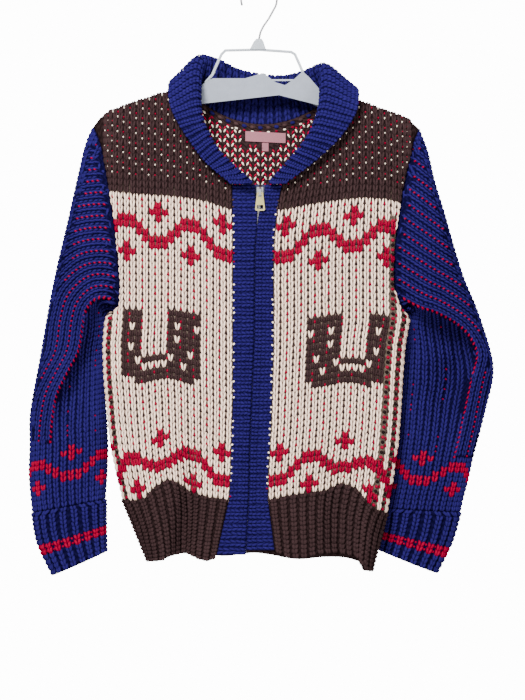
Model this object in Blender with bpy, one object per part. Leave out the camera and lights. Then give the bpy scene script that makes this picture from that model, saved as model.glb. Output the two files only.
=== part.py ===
"""Chunky shawl-collar zip cardigan hanging on a covered clear hanger.

Millimetres in the tables, metres in the meshes, +Z up. The front faces -Y and
the wearer's right is at -X. The origin is the inside top of the hanger's hook.

Every cloth piece is a wall between two surfaces that are worked out from the
tables below. Each table row is one section or one fold, from the top down.
"""

import math

import bmesh
import bpy
import numpy as np
from mathutils import Euler, Vector

MM = 0.001
SEAM_GAP = 0.3  # between two pieces that are sewn together
STEPPED_GAP = 0.5  # between two whose edges are stepped differently
KNIT_WALL = 4.2  # stocking stitch
RIB_WALL = 4.4  # ribbing between its ribs
RIB_HEIGHT = 1.6  # how far a rib stands out
HEM_RIB_PITCH = 11.5
CUFF_RIB_PITCH = 11.5
COLLAR_RIB_PITCH = 14.0
BAND_RIB_PITCH = 20.0
BAND_RIB_HEIGHT = 1.0
STEPS_A_RIB = 3  # points across a rib
BAND_STEPS_A_RIB = 2

SHOULDER_SAMPLES = 11  # steps from a neck point to a shoulder end
ARMHOLE_SAMPLES = 10  # steps from a shoulder end to the underarm
SIDE_SAMPLES = 7  # steps from the underarm to the hem rib
HEM_SAMPLES = 2  # steps down the hem rib
SLEEVE_STEPS = 17
CUFF_STEPS = 2
NECK_SAMPLES = 8  # steps across the back neck
ARMHOLE_DEPTH = 21.0  # from the armhole's middle plane to its front or back
SIDE_ROUND = 40.0  # how far from a side the cloth starts to turn back
SHOULDER_DROP = 66.0  # how far below the shoulder line the cloth stands full
CROWN_ROWS = 6.0  # rows over which the shoulder's slope fades into level rows
WAVE_ROW = 13.0  # the row below which the rib's wavy edge is felt
WAVE_ROWS = 4.0
SLEEVE_SQUARE = 0.85  # below 1 a sleeve's section is squarer than an ellipse
ARMHOLE_BLEND = 3.5  # rings over which a sleeve leaves the armhole's own shape
TOWARDS_SIDE = 1.35  # above 1 a panel's columns stand closer by its side
TOWARDS_ENDS = 0.09  # how much closer an armhole's rows stand at both its ends


def table(names, rows):
    """A table as one array for each named column."""
    return dict(zip(names.split(), np.array(rows, float).T))


# Depth of the cloth in front of and behind the middle plane, by height.
DEPTH = table("z front back", [
    (-130, 21, 20),
    (-200, 27, 23),
    (-300, 31, 25),
    (-440, 33, 27),
    (-560, 33, 28),
    (-680, 34, 29),
    (-780, 35, 30),
])

# The shoulder line from the right shoulder's end to the left one's, over both neck points.
SHOULDER = table("x z", [
    (-218, -188), (-209, -176), (-196, -167), (-170, -157), (-131, -144), (-116, -141), (-92, -137),
    (95, -142), (129, -152), (143, -157), (178, -170), (196, -177), (211, -191),
])
NECK_POINT = {"right": -92.0, "left": 95.0}

# A front's long inner edge (neckline, then zip band) and its outer edge
# (armhole, then side seam). The row named UNDERARM_ROW ends the armhole.
UNDERARM_ROW = 10
HEM_TOP_ROW = 17
EDGES = {
    "right": table("inner_x inner_z side_x side_z", [
        (-92, -137, -218, -188),
        (-91, -156, -213, -198),
        (-86, -179, -207, -214),
        (-75, -208, -199, -250),
        (-58, -234, -194, -281),
        (-35, -261, -187, -328),
        (-35, -292, -184, -362),
        (-34, -332, -181, -395),
        (-34, -370, -183, -421),
        (-34, -410, -191, -432),
        (-34, -439, -202, -439),
        (-34, -474, -205, -474),
        (-34, -510, -204, -510),
        (-34, -546, -201, -546),
        (-35, -578, -198, -578),
        (-36, -611, -194, -611),
        (-37, -644, -187, -644),
        (-39, -675, -179, -676),
        (-48, -715, -164, -715),
        (-56, -750, -146, -757),
    ]),
    "left": table("inner_x inner_z side_x side_z", [
        (95, -142, 211, -191),
        (92, -161, 204, -205),
        (87, -182, 198, -228),
        (73, -209, 192, -250),
        (56, -234, 185, -286),
        (31, -261, 178, -335),
        (25, -292, 176, -370),
        (20, -332, 177, -400),
        (19, -370, 183, -420),
        (19, -410, 192, -433),
        (19, -442, 198, -441),
        (19, -474, 192, -474),
        (18, -510, 189, -510),
        (17, -546, 187, -546),
        (16, -578, 185, -578),
        (14, -611, 182, -611),
        (12, -644, 177, -644),
        (12, -675, 168, -694),
        (16, -715, 162, -728),
        (21, -742, 148, -770),
    ]),
}

BACK_NECK_DROP = 44.0
BACK_NECK_X = 2.0
BACK_NECK_HALF = 93.0
BACK_NECK_ROUND = 0.7
NECK_TURN = 10.0  # depth over which the neck edge's wall turns upright from the shoulder

# The wavy top edge of the hem rib and the hem's foot, from the side inwards.
RIB_TOP = {
    "right": table("x z", [
        (-179, -676), (-161, -676), (-149, -673), (-134, -657), (-117, -648), (-105, -653),
        (-91, -665), (-66, -671), (-39, -675),
    ]),
    "left": table("x z", [
        (12, -675), (44, -668), (87, -663), (107, -654), (124, -658), (143, -680), (153, -688), (168, -694),
    ]),
}
HEM_FOOT = {
    "right": table("x z", [
        (-146, -757), (-124, -753), (-117, -749), (-94, -745), (-77, -752), (-66, -754), (-56, -750),
    ]),
    "left": table("x z", [
        (21, -742), (38, -750), (58, -750), (78, -745), (101, -745), (127, -749), (131, -757), (138, -767),
        (148, -770),
    ]),
}

HEM_BACK_WAVE = -7.0
HEM_BACK_WAVES = 3

# Folds: each runs from a top to a foot, where it is deepest. Depth is inwards.
FRONT_FOLDS = table("top_x top_z foot_x foot_z depth width", [
    (-72, -540, -100, -730, 20, 13),
    (-150, -560, -132, -740, -7, 15),
    (-52, -600, -66, -740, -5, 13),
    (92, -540, 104, -730, 17, 18),
    (150, -600, 140, -750, -6, 14),
    (44, -600, 55, -740, -5, 16),
])
BACK_FOLDS = table("top_x top_z foot_x foot_z depth width", [
    (-70, -420, -88, -740, 13, 20),
    (22, -480, 12, -740, 10, 17),
    (82, -400, 96, -740, 14, 20),
    (-30, -560, -36, -740, -6, 18),
    (52, -560, 54, -740, -6, 16),
])

# The zip line and how far each band's inner edge stands from it.
ZIP = table("z x right_gap left_gap", [
    (-258, 2, 8, 7),
    (-266, 2, 7, 6.5),
    (-280, 1.5, 6.5, 5.5),
    (-292, 0.5, 2.5, 3),
    (-304, -1, 1, 1),
    (-351, -5, 1, 1),
    (-468, -6, 1, 1),
    (-608, -12, 1, 1),
    (-668, -13, 1, 1),
    (-723, -16, 1, 1),
    (-744, -17, 1, 1),
])
BAND_TOP = -266.5
BAND_FOOT = {"right": -746.0, "left": -740.0}
BAND_STEPS = 4
BAND_FORWARD = 0.6  # how far a band lies in front of the panel it joins
BAND_RIDGE = 2.4  # the roll beside the zip
BAND_RIDGE_AT = 0.8  # across the band, from its seam
BAND_RIDGE_WIDE = 0.16
BAND_RIDGE_FROM = 30.0  # below the band's top
BAND_RIDGE_GROWS = 50.0  # over which it reaches its full height
BAND_TOWARDS_ZIP = 0.8  # below 1 a band's columns stand closer by the zip

# Sleeve rings: the underarm end, the outer end, the middle's y and the depths.
SLEEVE = {
    "right": table("inner_x inner_z outer_x outer_z mid front back", [
        (-202, -439, -218, -188, 0, 21, 21),
        (-204, -441, -228, -212, 1, 25, 21),
        (-205, -445, -237, -250, 2, 30, 22),
        (-205, -450, -246, -290, 4, 33, 22),
        (-205, -457, -255, -328, 7, 33, 21),
        (-204, -466, -264, -364, 10, 30, 20),
        (-203, -476, -272, -400, 13, 27, 19),
        (-203, -488, -279, -436, 15, 25, 18),
        (-203, -503, -285, -471, 15, 24, 18),
        (-202, -526, -291, -504, 15, 24, 18),
        (-201, -551, -297, -536, 15, 23, 18),
        (-199, -580, -302, -569, 15, 22, 18),
        (-198, -611, -302, -606, 15, 21, 18),
        (-199, -644, -303, -641, 14, 20, 17),
        (-200, -661, -301, -668, 12, 19, 17),
        (-201, -676, -298, -694, 10, 18, 17),
    ]),
    "left": table("inner_x inner_z outer_x outer_z mid front back", [
        (198, -441, 211, -191, 0, 21, 21),
        (200, -443, 222, -221, 1, 26, 21),
        (201, -447, 231, -260, 2, 31, 22),
        (201, -452, 243, -299, 4, 35, 22),
        (199, -459, 256, -344, 7, 36, 21),
        (196, -467, 270, -387, 11, 35, 20),
        (193, -476, 285, -421, 15, 31, 19),
        (190, -486, 295, -448, 18, 26, 18),
        (187, -498, 303, -473, 19, 23, 18),
        (185, -511, 309, -499, 20, 22, 18),
        (184, -530, 308, -523, 20, 22, 18),
        (182, -554, 300, -556, 20, 22, 18),
        (180, -585, 292, -588, 20, 22, 18),
        (177, -618, 283, -621, 20, 21, 18),
        (173, -650, 276, -653, 20, 20, 17),
        (169, -672, 270, -676, 21, 19, 17),
        (166, -689, 266, -694, 21, 18, 17),
    ]),
}
CUFF = {
    "right": table("inner_x inner_z outer_x outer_z mid front back", [
        (-201, -676, -298, -694, 10, 18, 17),
        (-201, -708, -290, -734, 7, 17, 16),
        (-200, -745, -270, -776, 4, 17, 16),
    ]),
    "left": table("inner_x inner_z outer_x outer_z mid front back", [
        (166, -689, 266, -694, 21, 18, 17),
        (163, -715, 254, -734, 22, 17, 16),
        (156, -744, 234, -775, 22, 17, 16),
    ]),
}
# The crease where a sleeve folds under the arm: a step in the front's depth.
SLEEVE_CREASE = {
    "right": table("x z", [
        (-213, -424), (-222, -433), (-234, -455), (-250, -478), (-264, -508), (-271, -540), (-273, -590), (-274, -615),
    ]),
    "left": table("x z", [
        (190, -424), (209, -432), (242, -449), (272, -475), (284, -484), (279, -512), (273, -540), (262, -590),
        (252, -640), (243, -688),
    ]),
}
CREASE_DEPTH = {"right": 12.0, "left": 14.0}
CREASE_RIDGE = 4.0
CREASE_WIDTH = 16.0
CREASE_FADES = (0.06, 0.3)  # shares of its line over which it fades at its top and foot

# Collar sections from the right front's zip end round the back neck to the left's: the crest of the
# roll, the free edge and the roll's radius. The first and last NECK_ROW + 1 rows stand on the fronts'
# neckline rows, the NAPE_ROWS between them on the back neck.
NECK_ROW = 5
NAPE_ROWS = 6
COLLAR = table("roll_x roll_y roll_z edge_x edge_y edge_z radius", [
    (-7, -38, -265.8, -37, -41, -265.8, 7.0),
    (-49, -40, -226, -68, -42, -240, 7.5),
    (-65, -38, -200, -88, -40, -214, 8.0),
    (-74, -34, -175, -107, -37, -184, 8.5),
    (-76, -23, -140, -117, -27, -158, 9.5),
    (-75, -3, -101, -116, -5, -130, 9.5),
    (-61, 18, -95, -88, 41, -143, 9.5),
    (-29, 29, -109, -48, 47, -161, 8.5),
    (4, 32, -116, 4, 50, -167, 8.5),
    (32, 30, -118, 50, 48, -165, 8.5),
    (58, 21, -113, 96, 42, -152, 9.5),
    (80, -2, -109, 127, -4, -139, 9.5),
    (80, -24, -140, 130, -27, -157, 9.5),
    (76, -34, -170, 124, -37, -178, 9.0),
    (64, -39, -202, 103, -41, -209, 8.5),
    (43, -40, -230, 68, -42, -241, 7.5),
    (12, -38, -265.8, 34, -41, -265.8, 7.0),
])
COLLAR_END_Z = -266.1
COLLAR_TURNS = (90, 30, -30, -90)  # degrees round the roll
NECK_GAP = 1.6  # from the panels' stepped neck edge to the collar

# Hanger sizes.
WIRE = 1.4  # the hook wire's radius
HOOK_RADIUS = 22.1
HOOK_CENTRE_Z = -HOOK_RADIUS
LOOP_RADIUS = 1.9
ARM_BELOW_SHOULDER = 6.2
ARM_SQUARE = 0.75  # below 1 the arms' section is squarer than an ellipse
ARM_LINE = table("x top height half", [
    (-198, -176, 7, 1.4),
    (-188, -170, 12, 2.8),
    (-170, -160, 18, 4.0),
    (-131, -146, 21, 4.0),
    (-92, -143, 20, 4.0),
    (-70, -138, 20, 4.0),
    (-40, -134, 16, 4.0),
    (26, -134, 11, 4.0),
    (60, -139, 16, 4.0),
    (88, -153, 15, 4.0),
    (129, -155, 20, 4.0),
    (172, -170, 18, 4.0),
    (182, -175, 12, 2.8),
    (191, -180, 7, 1.4),
])
HOOK_STEM = ((0, -85.5), (0, -74), (2, -65), (6, -57), (13, -47))
HOOK_FROM = -35.0
HOOK_TO = 200.0
LOOP_LINE = (
    (-70, -137.5), (-70, -131), (-61, -121), (-55, -107), (-49, -94), (-44, -89), (0, -88),
    (42, -91), (47, -94), (52, -105), (57, -117), (62, -130), (62, -138.9),
)
CROSSBAR_ENDS = (-67, 61)
CROSSBAR_Z = -128.0
CROSSBAR_RADIUS = 1.3
GUSSET = ((-12, -87.5), (-7, -78), (-3.5, -74), (3.5, -74), (6, -78), (9, -87.5))
GUSSET_THICK = 7.0
SOCKET_FOOT, SOCKET_TOP = -85.8, -60.0  # the hole that takes the hook's stem
COVER_FROM_ARM = 4.3
COVER_THICK = 1.0
COVER_TOP = table("x z", [
    (-176, -171), (-131, -156), (-92, -149), (-74, -134), (-60, -126), (-18, -126), (6, -119), (21, -131),
    (34, -135), (46, -127), (57, -117), (66, -125), (78, -139), (92, -153), (129, -164), (178, -184),
])
COVER_FOOT = table("x z", [
    (-176, -190), (-131, -175), (-72, -159), (26, -148), (81, -162), (129, -181), (178, -199),
])

# Zip slider and pull tab.
SLIDER_MIDDLE = (1.4, -25.3, -276.0)  # the middle of its channel
SLIDER_WIDE = 8.4
SLIDER_TALL = 12.5
SLIDER_PLATE = 1.4
SLIDER_CHANNEL = 2.6
NOSE_WIDE = 2.4  # the wedge that parts the two rows of teeth
NOSE_FROM_TOP = (4.0, 0.5)  # its foot and its top, below the slider's top
BAIL_WIDE = 2.4
BAIL_STRAP = 1.0
BAIL_REACH = 8.7  # from the front plate to the bail's front
BAIL_LEG = 1.5
BAIL_PLAY = 0.5  # between the pull's bar and the bail's lower leg
BAIL_UP = 1.5  # from the slider's foot to the bail's
BAIL_TALL = 11.5
BAIL_SHOULDER = (3.0, 3.5)  # the sloped corner at its top, back from the plate and down
BAIL_SHOULDER_IN = (2.6, 4.0)  # the same corner inside the arch
PULL_THICK = 1.5
PULL_BAR = 2.0  # the bar that the bail holds
PULL_EYE = (4.4, 4.2)
PULL_LONG = 24.0
PULL_TOP_WIDE = 8.0
PULL_FOOT_WIDE = 13.0
PULL_CORNERS = (1.0, 1.5)  # cut off its corners at the top and the foot
PULL_SLOT = (8.2, 5.2)
PULL_SLOT_UP = 2.2  # from the foot to the slot
PULL_SWING_GAP = 1.45  # from the pull's axis to the bail's strap
TAPE_WIDE = 12.0
TAPE_THICK = 1.1
TAPE_FROM_ZIP = 1.7
TAPE_Y_IN = 4.8  # behind the band's face

# Sewn-in neck label and the size tab under it: left, right, top, foot.
LABEL = (-18.0, 35.0, -193.0, -206.0)
SIZE_TAB = (4.0, 12.5, -207.0, -218.0)
LABEL_THICK = 0.9
LABEL_SLOPE = -0.05
LABEL_CLEAR = 0.4

COLOURS = {
    "cream wool": ((0.80, 0.73, 0.62), 0.95),
    "brown wool": ((0.062, 0.032, 0.026), 0.95),
    "blue wool": ((0.016, 0.020, 0.22), 0.95),
    "clear plastic": ((0.75, 0.79, 0.82), 0.15),
    "grey cover": ((0.50, 0.53, 0.58), 0.8),
    "steel wire": ((0.55, 0.56, 0.58), 0.3),
    "pale gold": ((0.85, 0.76, 0.42), 0.25),
    "woven label": ((0.75, 0.34, 0.42), 0.8),
    "zip tape": ((0.02, 0.02, 0.09), 0.9),
}
METALS = ("steel wire", "pale gold")


# ---------------------------------------------------------------- scene set-up

for thing in list(bpy.data.objects):
    bpy.data.objects.remove(thing, do_unlink=True)

cardigan = bpy.data.collections.new("zip cardigan on hanger")
bpy.context.scene.collection.children.link(cardigan)
cutters = bpy.data.collections.new("cutters")
bpy.context.scene.collection.children.link(cutters)


def finish_of(name):
    """The named material, made the first time it is asked for."""
    if name in bpy.data.materials:
        return bpy.data.materials[name]
    colour, roughness = COLOURS[name]
    material = bpy.data.materials.new(name)
    material.use_nodes = True
    shader = material.node_tree.nodes["Principled BSDF"]
    shader.inputs["Base Color"].default_value = (*colour, 1)
    shader.inputs["Roughness"].default_value = roughness
    shader.inputs["Metallic"].default_value = 1.0 if name in METALS else 0.0
    return material


def keep(name, mesh, finish, smooth=True):
    """Puts a mesh in the cardigan's collection as the object called name."""
    thing = bpy.data.objects.new(name, mesh)
    mesh.materials.append(finish_of(finish))
    if smooth:
        mesh.shade_smooth()
    cardigan.objects.link(thing)
    return thing


def outward(mesh):
    """Turns a closed mesh's faces to point out of it."""
    work = bmesh.new()
    work.from_mesh(mesh)
    bmesh.ops.recalc_face_normals(work, faces=work.faces)
    work.to_mesh(mesh)
    work.free()


# ------------------------------------------------------------ cloth made simple


def wall(name, face, lining, finish):
    """A sheet of cloth between two grids of points, face outside and lining inside, with a rim all round.
    The rim's quads are cut along their shorter diagonal, so that two pieces that meet are cut alike."""
    rows, columns = face.shape[:2]
    number = np.arange(rows * columns).reshape(rows, columns)
    quads = np.stack([number[:-1, :-1], number[1:, :-1], number[1:, 1:], number[:-1, 1:]], -1).reshape(-1, 4)
    points = np.concatenate([face.reshape(-1, 3), lining.reshape(-1, 3)]) * MM
    rim = np.concatenate([number[0, :-1], number[:-1, -1], number[-1, :0:-1], number[:0:-1, 0]])
    far = rows * columns
    a, b, c, d = rim, np.roll(rim, -1), np.roll(rim, -1) + far, rim + far
    ac, bd = (np.linalg.norm(points[p] - points[q], axis=1) for p, q in ((a, c), (b, d)))
    shorter = (ac < bd)[:, None]
    one = np.where(shorter, np.stack([a, b, c], -1), np.stack([a, b, d], -1))
    two = np.where(shorter, np.stack([a, c, d], -1), np.stack([b, c, d], -1))
    mesh = bpy.data.meshes.new(name)
    faces = [quads, quads[:, ::-1] + far, one, two]
    mesh.from_pydata(points.tolist(), [], [face for group in faces for face in group.tolist()])
    outward(mesh)
    return keep(name, mesh, finish)


def loft(name, rings, finish, smooth=True):
    """A solid through closed rings of points, with flat ends."""
    count, around = rings.shape[:2]
    number = np.arange(count * around).reshape(count, around)
    nxt = np.roll(number, -1, axis=1)
    quads = np.stack([number[:-1], nxt[:-1], nxt[1:], number[1:]], -1).reshape(-1, 4).tolist()
    mesh = bpy.data.meshes.new(name)
    ends = [number[0].tolist(), number[-1].tolist()]
    mesh.from_pydata((rings.reshape(-1, 3) * MM).tolist(), [], quads + ends)
    outward(mesh)
    return keep(name, mesh, finish, smooth)


def normals(grid):
    """Unit normals of a grid of points: the cross product of its two directions."""
    down = np.gradient(grid, axis=0)
    across = np.gradient(grid, axis=1)
    n = np.cross(down, across)
    return n / np.maximum(np.linalg.norm(n, axis=-1, keepdims=True), 1e-9)


def unit(v):
    """v at length 1 along its last axis."""
    return v / np.maximum(np.linalg.norm(v, axis=-1, keepdims=True), 1e-9)


def curve(values, t):
    """A smooth curve through equally spaced values, read at t from 0 to 1 (Catmull-Rom)."""
    values = np.asarray(values, float)
    last = len(values) - 1
    padded = np.concatenate([[2 * values[0] - values[1]], values, [2 * values[-1] - values[-2]]])
    place = np.clip(np.asarray(t, float) * last, 0, last - 1e-9)
    i = place.astype(int)
    f = place - i
    a, b, c, d = padded[i], padded[i + 1], padded[i + 2], padded[i + 3]
    return b + 0.5 * f * (c - a + f * (2 * a - 5 * b + 4 * c - d + f * (3 * (b - c) + d - a)))


def smoothstep(t):
    """0 up to t = 0, 1 from t = 1, and a smooth rise between."""
    t = np.clip(t, 0, 1)
    return t * t * (3 - 2 * t)


# --------------------------------------------------------- the garment's surface

SIGN = {"right": -1.0, "left": 1.0}


def by_height(z, heights, values):
    """values read at height z, where heights run downwards."""
    return np.interp(-z, -heights, values)


def shoulder_z(x):
    """The height of the shoulder line over x, level-ish between the two neck points."""
    return np.interp(x, SHOULDER["x"], SHOULDER["z"])


def fold_depth(x, z, folds):
    """The sum of the folds: each is a bell across its line, growing smoothly from its top to its foot."""
    total = np.zeros(np.broadcast(x, z).shape)
    for top_x, top_z, foot_x, foot_z, depth, width in zip(*folds.values()):
        along = (top_z - z) / (top_z - foot_z)
        middle = top_x + (foot_x - top_x) * np.clip(along, 0, 1.1)
        total += depth * smoothstep(along) * np.exp(-(((x - middle) / width) ** 2))
    return total


def edge_depth(z, side):
    """How far the armhole stands from the middle plane: a half circle from shoulder to underarm, then 0."""
    rows = EDGES[side]
    top, foot = rows["side_z"][0], rows["side_z"][UNDERARM_ROW]
    share = np.clip((z - foot) / (top - foot), 0, 1)
    return ARMHOLE_DEPTH * np.sqrt(np.maximum(0, 1 - (2 * share - 1) ** 2))


def body_y(x, z, face):
    """y of the cloth's outer surface. face is -1 in front, +1 behind. Away from the sides it stands at the
    depth for its height, falls to the middle plane over the shoulder as a quarter ellipse, turns to the
    side seam as another, and carries the folds."""
    x, z = np.broadcast_arrays(x, z)
    full = by_height(z, DEPTH["z"], DEPTH["front" if face < 0 else "back"])
    below = np.clip((shoulder_z(x) - z) / SHOULDER_DROP, 0, 1)
    full = full * np.sqrt(1 - (1 - below) ** 2)
    edge, near = np.zeros(x.shape), np.zeros(x.shape)
    for side, sign in SIGN.items():
        rows, here = EDGES[side], x * sign >= 0
        inside = (by_height(z, rows["side_z"], rows["side_x"]) - x) * sign
        edge = np.where(here, edge_depth(z, side), edge)
        near = np.where(here, inside, near)
    turn = np.sqrt(1 - (1 - np.clip(near / SIDE_ROUND, 0, 1)) ** 2)
    folds = FRONT_FOLDS if face < 0 else BACK_FOLDS
    return face * (edge + (full - edge) * turn - turn * fold_depth(x, z, folds))


def edge_points(side, rows_at, edge):
    """x and z down a body panel's edge, inner or side, at fractional row numbers."""
    rows = EDGES[side]
    at = rows_at / (len(rows["side_x"]) - 1)
    return np.stack([curve(rows[edge + "_x"], at), curve(rows[edge + "_z"], at)], -1)


def seam_rim(side, rows_at, face):
    """The direction in which a seam's rims run through the wall: down an armhole it turns from up and out
    at the shoulder to forward at the middle and to down and out under the arm, the same for body and
    sleeve, and below the underarm it is straight out of the side."""
    turned = np.pi * (1 - np.clip(rows_at / UNDERARM_ROW, 0, 1))
    out = SIGN[side] * (0.25 + 0.45 * np.cos(turned) ** 2)
    rim = unit(np.stack([out, face * np.sin(turned), -0.8 * np.cos(turned)], -1))
    straight = np.array([SIGN[side], 0.0, 0.0])
    return np.where((rows_at <= UNDERARM_ROW)[:, None], rim, straight)


def fade_down(rows_at, end):
    """1 on the first row, falling smoothly to 0 on the row called end."""
    return (1 - np.clip(rows_at / end, 0, 1)) ** 2


def facing(surface, face):
    """Normals of a body grid, on the side that face names."""
    n = normals(surface)
    return n * np.sign((n[..., 1] * face).sum())


def ribbed(across, count, height):
    """Height of count round ribs over a share across from 0 to 1, with a hollow at both ends."""
    return height * np.sin(np.pi * count * across) ** 2


def line_length(points):
    """Length of a line of points."""
    return np.linalg.norm(np.diff(points, axis=0), axis=1).sum()


def even(points, share):
    """Where along a line of points (0 to 1 by point number) it has run a share of its own length."""
    run = np.concatenate([[0], np.cumsum(np.linalg.norm(np.diff(points, axis=0), axis=1))])
    return np.interp(share * run[-1], run, np.linspace(0, 1, len(points)))


def along(points, share):
    """Points read at a share from 0 to 1 along a line of points."""
    at = np.linspace(0, 1, len(points))
    return np.stack([np.interp(share, at, column) for column in points.T], -1)


# ------------------------------------------------------- fronts, back and hem ribs

evenly = np.linspace(0, 1, ARMHOLE_SAMPLES + 1)
ARMHOLE_AT = UNDERARM_ROW * (evenly - TOWARDS_ENDS * np.sin(2 * np.pi * evenly))
ROWS_AT = np.concatenate([ARMHOLE_AT, np.linspace(UNDERARM_ROW, HEM_TOP_ROW, SIDE_SAMPLES + 1)[1:]])
ACROSS = 1 - (1 - np.linspace(0, 1, SHOULDER_SAMPLES + 1)) ** TOWARDS_SIDE


def front_plan(side):
    """x and z of a front's grid: straight rows from the inner edge to the side, lifted to the shoulder
    line at the top and to the rib's wavy edge at the foot."""
    inner, outer = edge_points(side, ROWS_AT, "inner"), edge_points(side, ROWS_AT, "side")
    plan = inner[:, None] + (outer - inner)[:, None] * ACROSS[None, :, None]
    x, z = plan[..., 0], plan[..., 1]
    z += (shoulder_z(x[0]) - z[0]) * fade_down(ROWS_AT, CROWN_ROWS)[:, None]
    rib = RIB_TOP[side]
    z += (np.interp(x[-1], rib["x"], rib["z"]) - z[-1]) * smoothstep((ROWS_AT[:, None] - WAVE_ROW) / WAVE_ROWS)
    return x, z


def nape_z(x):
    """The height of the shoulder line, less the scoop of the back neck."""
    level = np.clip((x - BACK_NECK_X) / BACK_NECK_HALF, -1, 1)
    return shoulder_z(x) - BACK_NECK_DROP * np.cos(level * np.pi / 2) ** BACK_NECK_ROUND


def back_plan():
    """x and z of the back's grid. Its first row runs over one shoulder, round the back neck and over
    the other; rows below flatten into straight ones between the side seams."""
    right, left = (edge_points(side, ROWS_AT, "side") for side in SIGN)
    neck_r, neck_l = NECK_POINT["right"], NECK_POINT["left"]
    over_neck = (1 - np.cos(np.linspace(0, np.pi, NECK_SAMPLES + 1)[1:-1])) / 2
    top = np.concatenate([
        (neck_r + (right[0, 0] - neck_r) * ACROSS)[::-1],
        neck_r + (neck_l - neck_r) * over_neck,
        neck_l + (left[0, 0] - neck_l) * ACROSS,
    ])
    share = ((top - top[0]) / (top[-1] - top[0]))[None, :, None]
    plan = right[:, None] + (left - right)[:, None] * share
    x, z = plan[..., 0], plan[..., 1]
    z += (nape_z(top) - z[0]) * fade_down(ROWS_AT, CROWN_ROWS)[:, None]
    return x, z


def body_grid(x, z, face, edges, shoulder):
    """A panel's outer points and its lining's. edges names each side column (column to side), which is
    drawn back by half a seam gap and whose rim follows seam_rim; shoulder marks the points of the first
    row that lie on the shoulder seam, whose rim stands upright in the middle plane."""
    surface = np.stack([x, body_y(x, z, face), z], -1)
    n = facing(surface, face)
    n[0, shoulder] = unit(n[0, shoulder] * (1, 0, 1))
    to_side = np.min([np.abs(x[-1] - x[-1, column]) for column in edges], axis=0)
    straight = smoothstep(to_side / SIDE_ROUND)[:, None]
    n[-1] = unit(n[-1] * (1, 1, 0) * (1 - straight) + np.array((0, face, 0)) * straight)
    surface[0, shoulder, 1] += face * SEAM_GAP / 2
    lining = surface - n * KNIT_WALL
    for column, side in edges.items():
        rim = seam_rim(side, ROWS_AT, face)
        surface[:, column, 0] -= SIGN[side] * SEAM_GAP
        surface[:, column, 1] = face * (edge_depth(z[:, column], side) + SEAM_GAP / 2)
        lining[:, column] = surface[:, column] - rim * KNIT_WALL
        low = ROWS_AT > UNDERARM_ROW
        lining[low, column, 1] = surface[low, column, 1]
    lining[0, shoulder, 1] = surface[0, shoulder, 1]
    return surface, lining


def hem(name, surface, lining, foot, face, edges, straight=None):
    """The rib under a panel: rows from the panel's own lower edge to the hem's foot, with steps even
    along the cloth and the ribs raised on the outer points alone."""
    tops = surface[-1]
    fine = np.linspace(0, 1, 241)
    down = np.linspace(0, 1, HEM_SAMPLES + 1)[:, None, None]
    flat = along(tops[:, [0, 2]], fine) * (1 - down) + along(foot, fine) * down
    rows = np.stack([flat[..., 0], body_y(flat[..., 0], flat[..., 1], face), flat[..., 1]], -1)
    ribs = round(line_length(rows[HEM_SAMPLES // 2 + 1]) / HEM_RIB_PITCH)
    share = np.linspace(0, 1, ribs * STEPS_A_RIB + 1)
    plain = np.array([along(row, even(row, share)) for row in rows])
    n = unit(facing(plain, face) * (1, 1, 0))
    if straight is not None:
        n[:, straight] = (0, face, 0)
    for column, side in edges.items():
        plain[1:, column, 0] -= SIGN[side] * SEAM_GAP
        plain[1:, column, 1] += face * SEAM_GAP / 2
        n[:, column] = (SIGN[side], 0, 0)
    shown = plain + n * ribbed(share, ribs, RIB_HEIGHT)[None, :, None]
    inside = plain - n * RIB_WALL
    at = even(rows[0], share)
    inside[0] = along(lining[-1], at)
    shown[0] = along(tops, at) + (0, face, 0) * ribbed(share, ribs, RIB_HEIGHT)[:, None]
    steep = np.gradient(tops[:, 2]) / np.gradient(tops[:, 0])
    gap = STEPPED_GAP * np.sqrt(1 + np.interp(at, np.linspace(0, 1, len(steep)), steep) ** 2)
    shown[0, :, 2] -= gap
    inside[0, :, 2] -= gap
    wall(name, shown, inside, "brown wool")


front = {}
for side in SIGN:
    x, z = front_plan(side)
    on_shoulder = np.ones(x.shape[1], bool)
    surface, lining = body_grid(x, z, -1, {-1: side}, on_shoulder)
    lining[1:, 0] = surface[1:, 0] + (0, KNIT_WALL, 0)
    front[side] = surface
    wall(f"front_{side}", surface, lining, "cream wool")
    foot = np.stack([HEM_FOOT[side]["x"], HEM_FOOT[side]["z"]], -1)
    hem(f"hem_{side}", surface, lining, foot[:: int(SIGN[side])], -1, {-1: side}, straight=0)

back_x, back_z = back_plan()
on_shoulder = (np.arange(back_x.shape[1]) <= SHOULDER_SAMPLES) | (
    np.arange(back_x.shape[1]) >= SHOULDER_SAMPLES + NECK_SAMPLES
)
surface, lining = body_grid(back_x, back_z, 1, {0: "right", -1: "left"}, on_shoulder)
wall("back", surface, lining, "cream wool")
share = np.linspace(0, 1, 41)
ends = [HEM_FOOT[side]["z"][end] for side, end in (("right", 0), ("left", -1))]
foot = np.stack([
    HEM_FOOT["right"]["x"][0] + (HEM_FOOT["left"]["x"][-1] - HEM_FOOT["right"]["x"][0]) * share,
    ends[0] + (ends[1] - ends[0]) * share - HEM_BACK_WAVE * np.sin(share * np.pi * HEM_BACK_WAVES) ** 2,
], -1)
hem("hem_back", surface, lining, foot, 1, {0: "right", -1: "left"})


# --------------------------------------------------------------- zip bands and zip


def zip_at(z, column):
    """A column of the zip's table at height z."""
    return by_height(z, ZIP["z"], ZIP[column])


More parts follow.
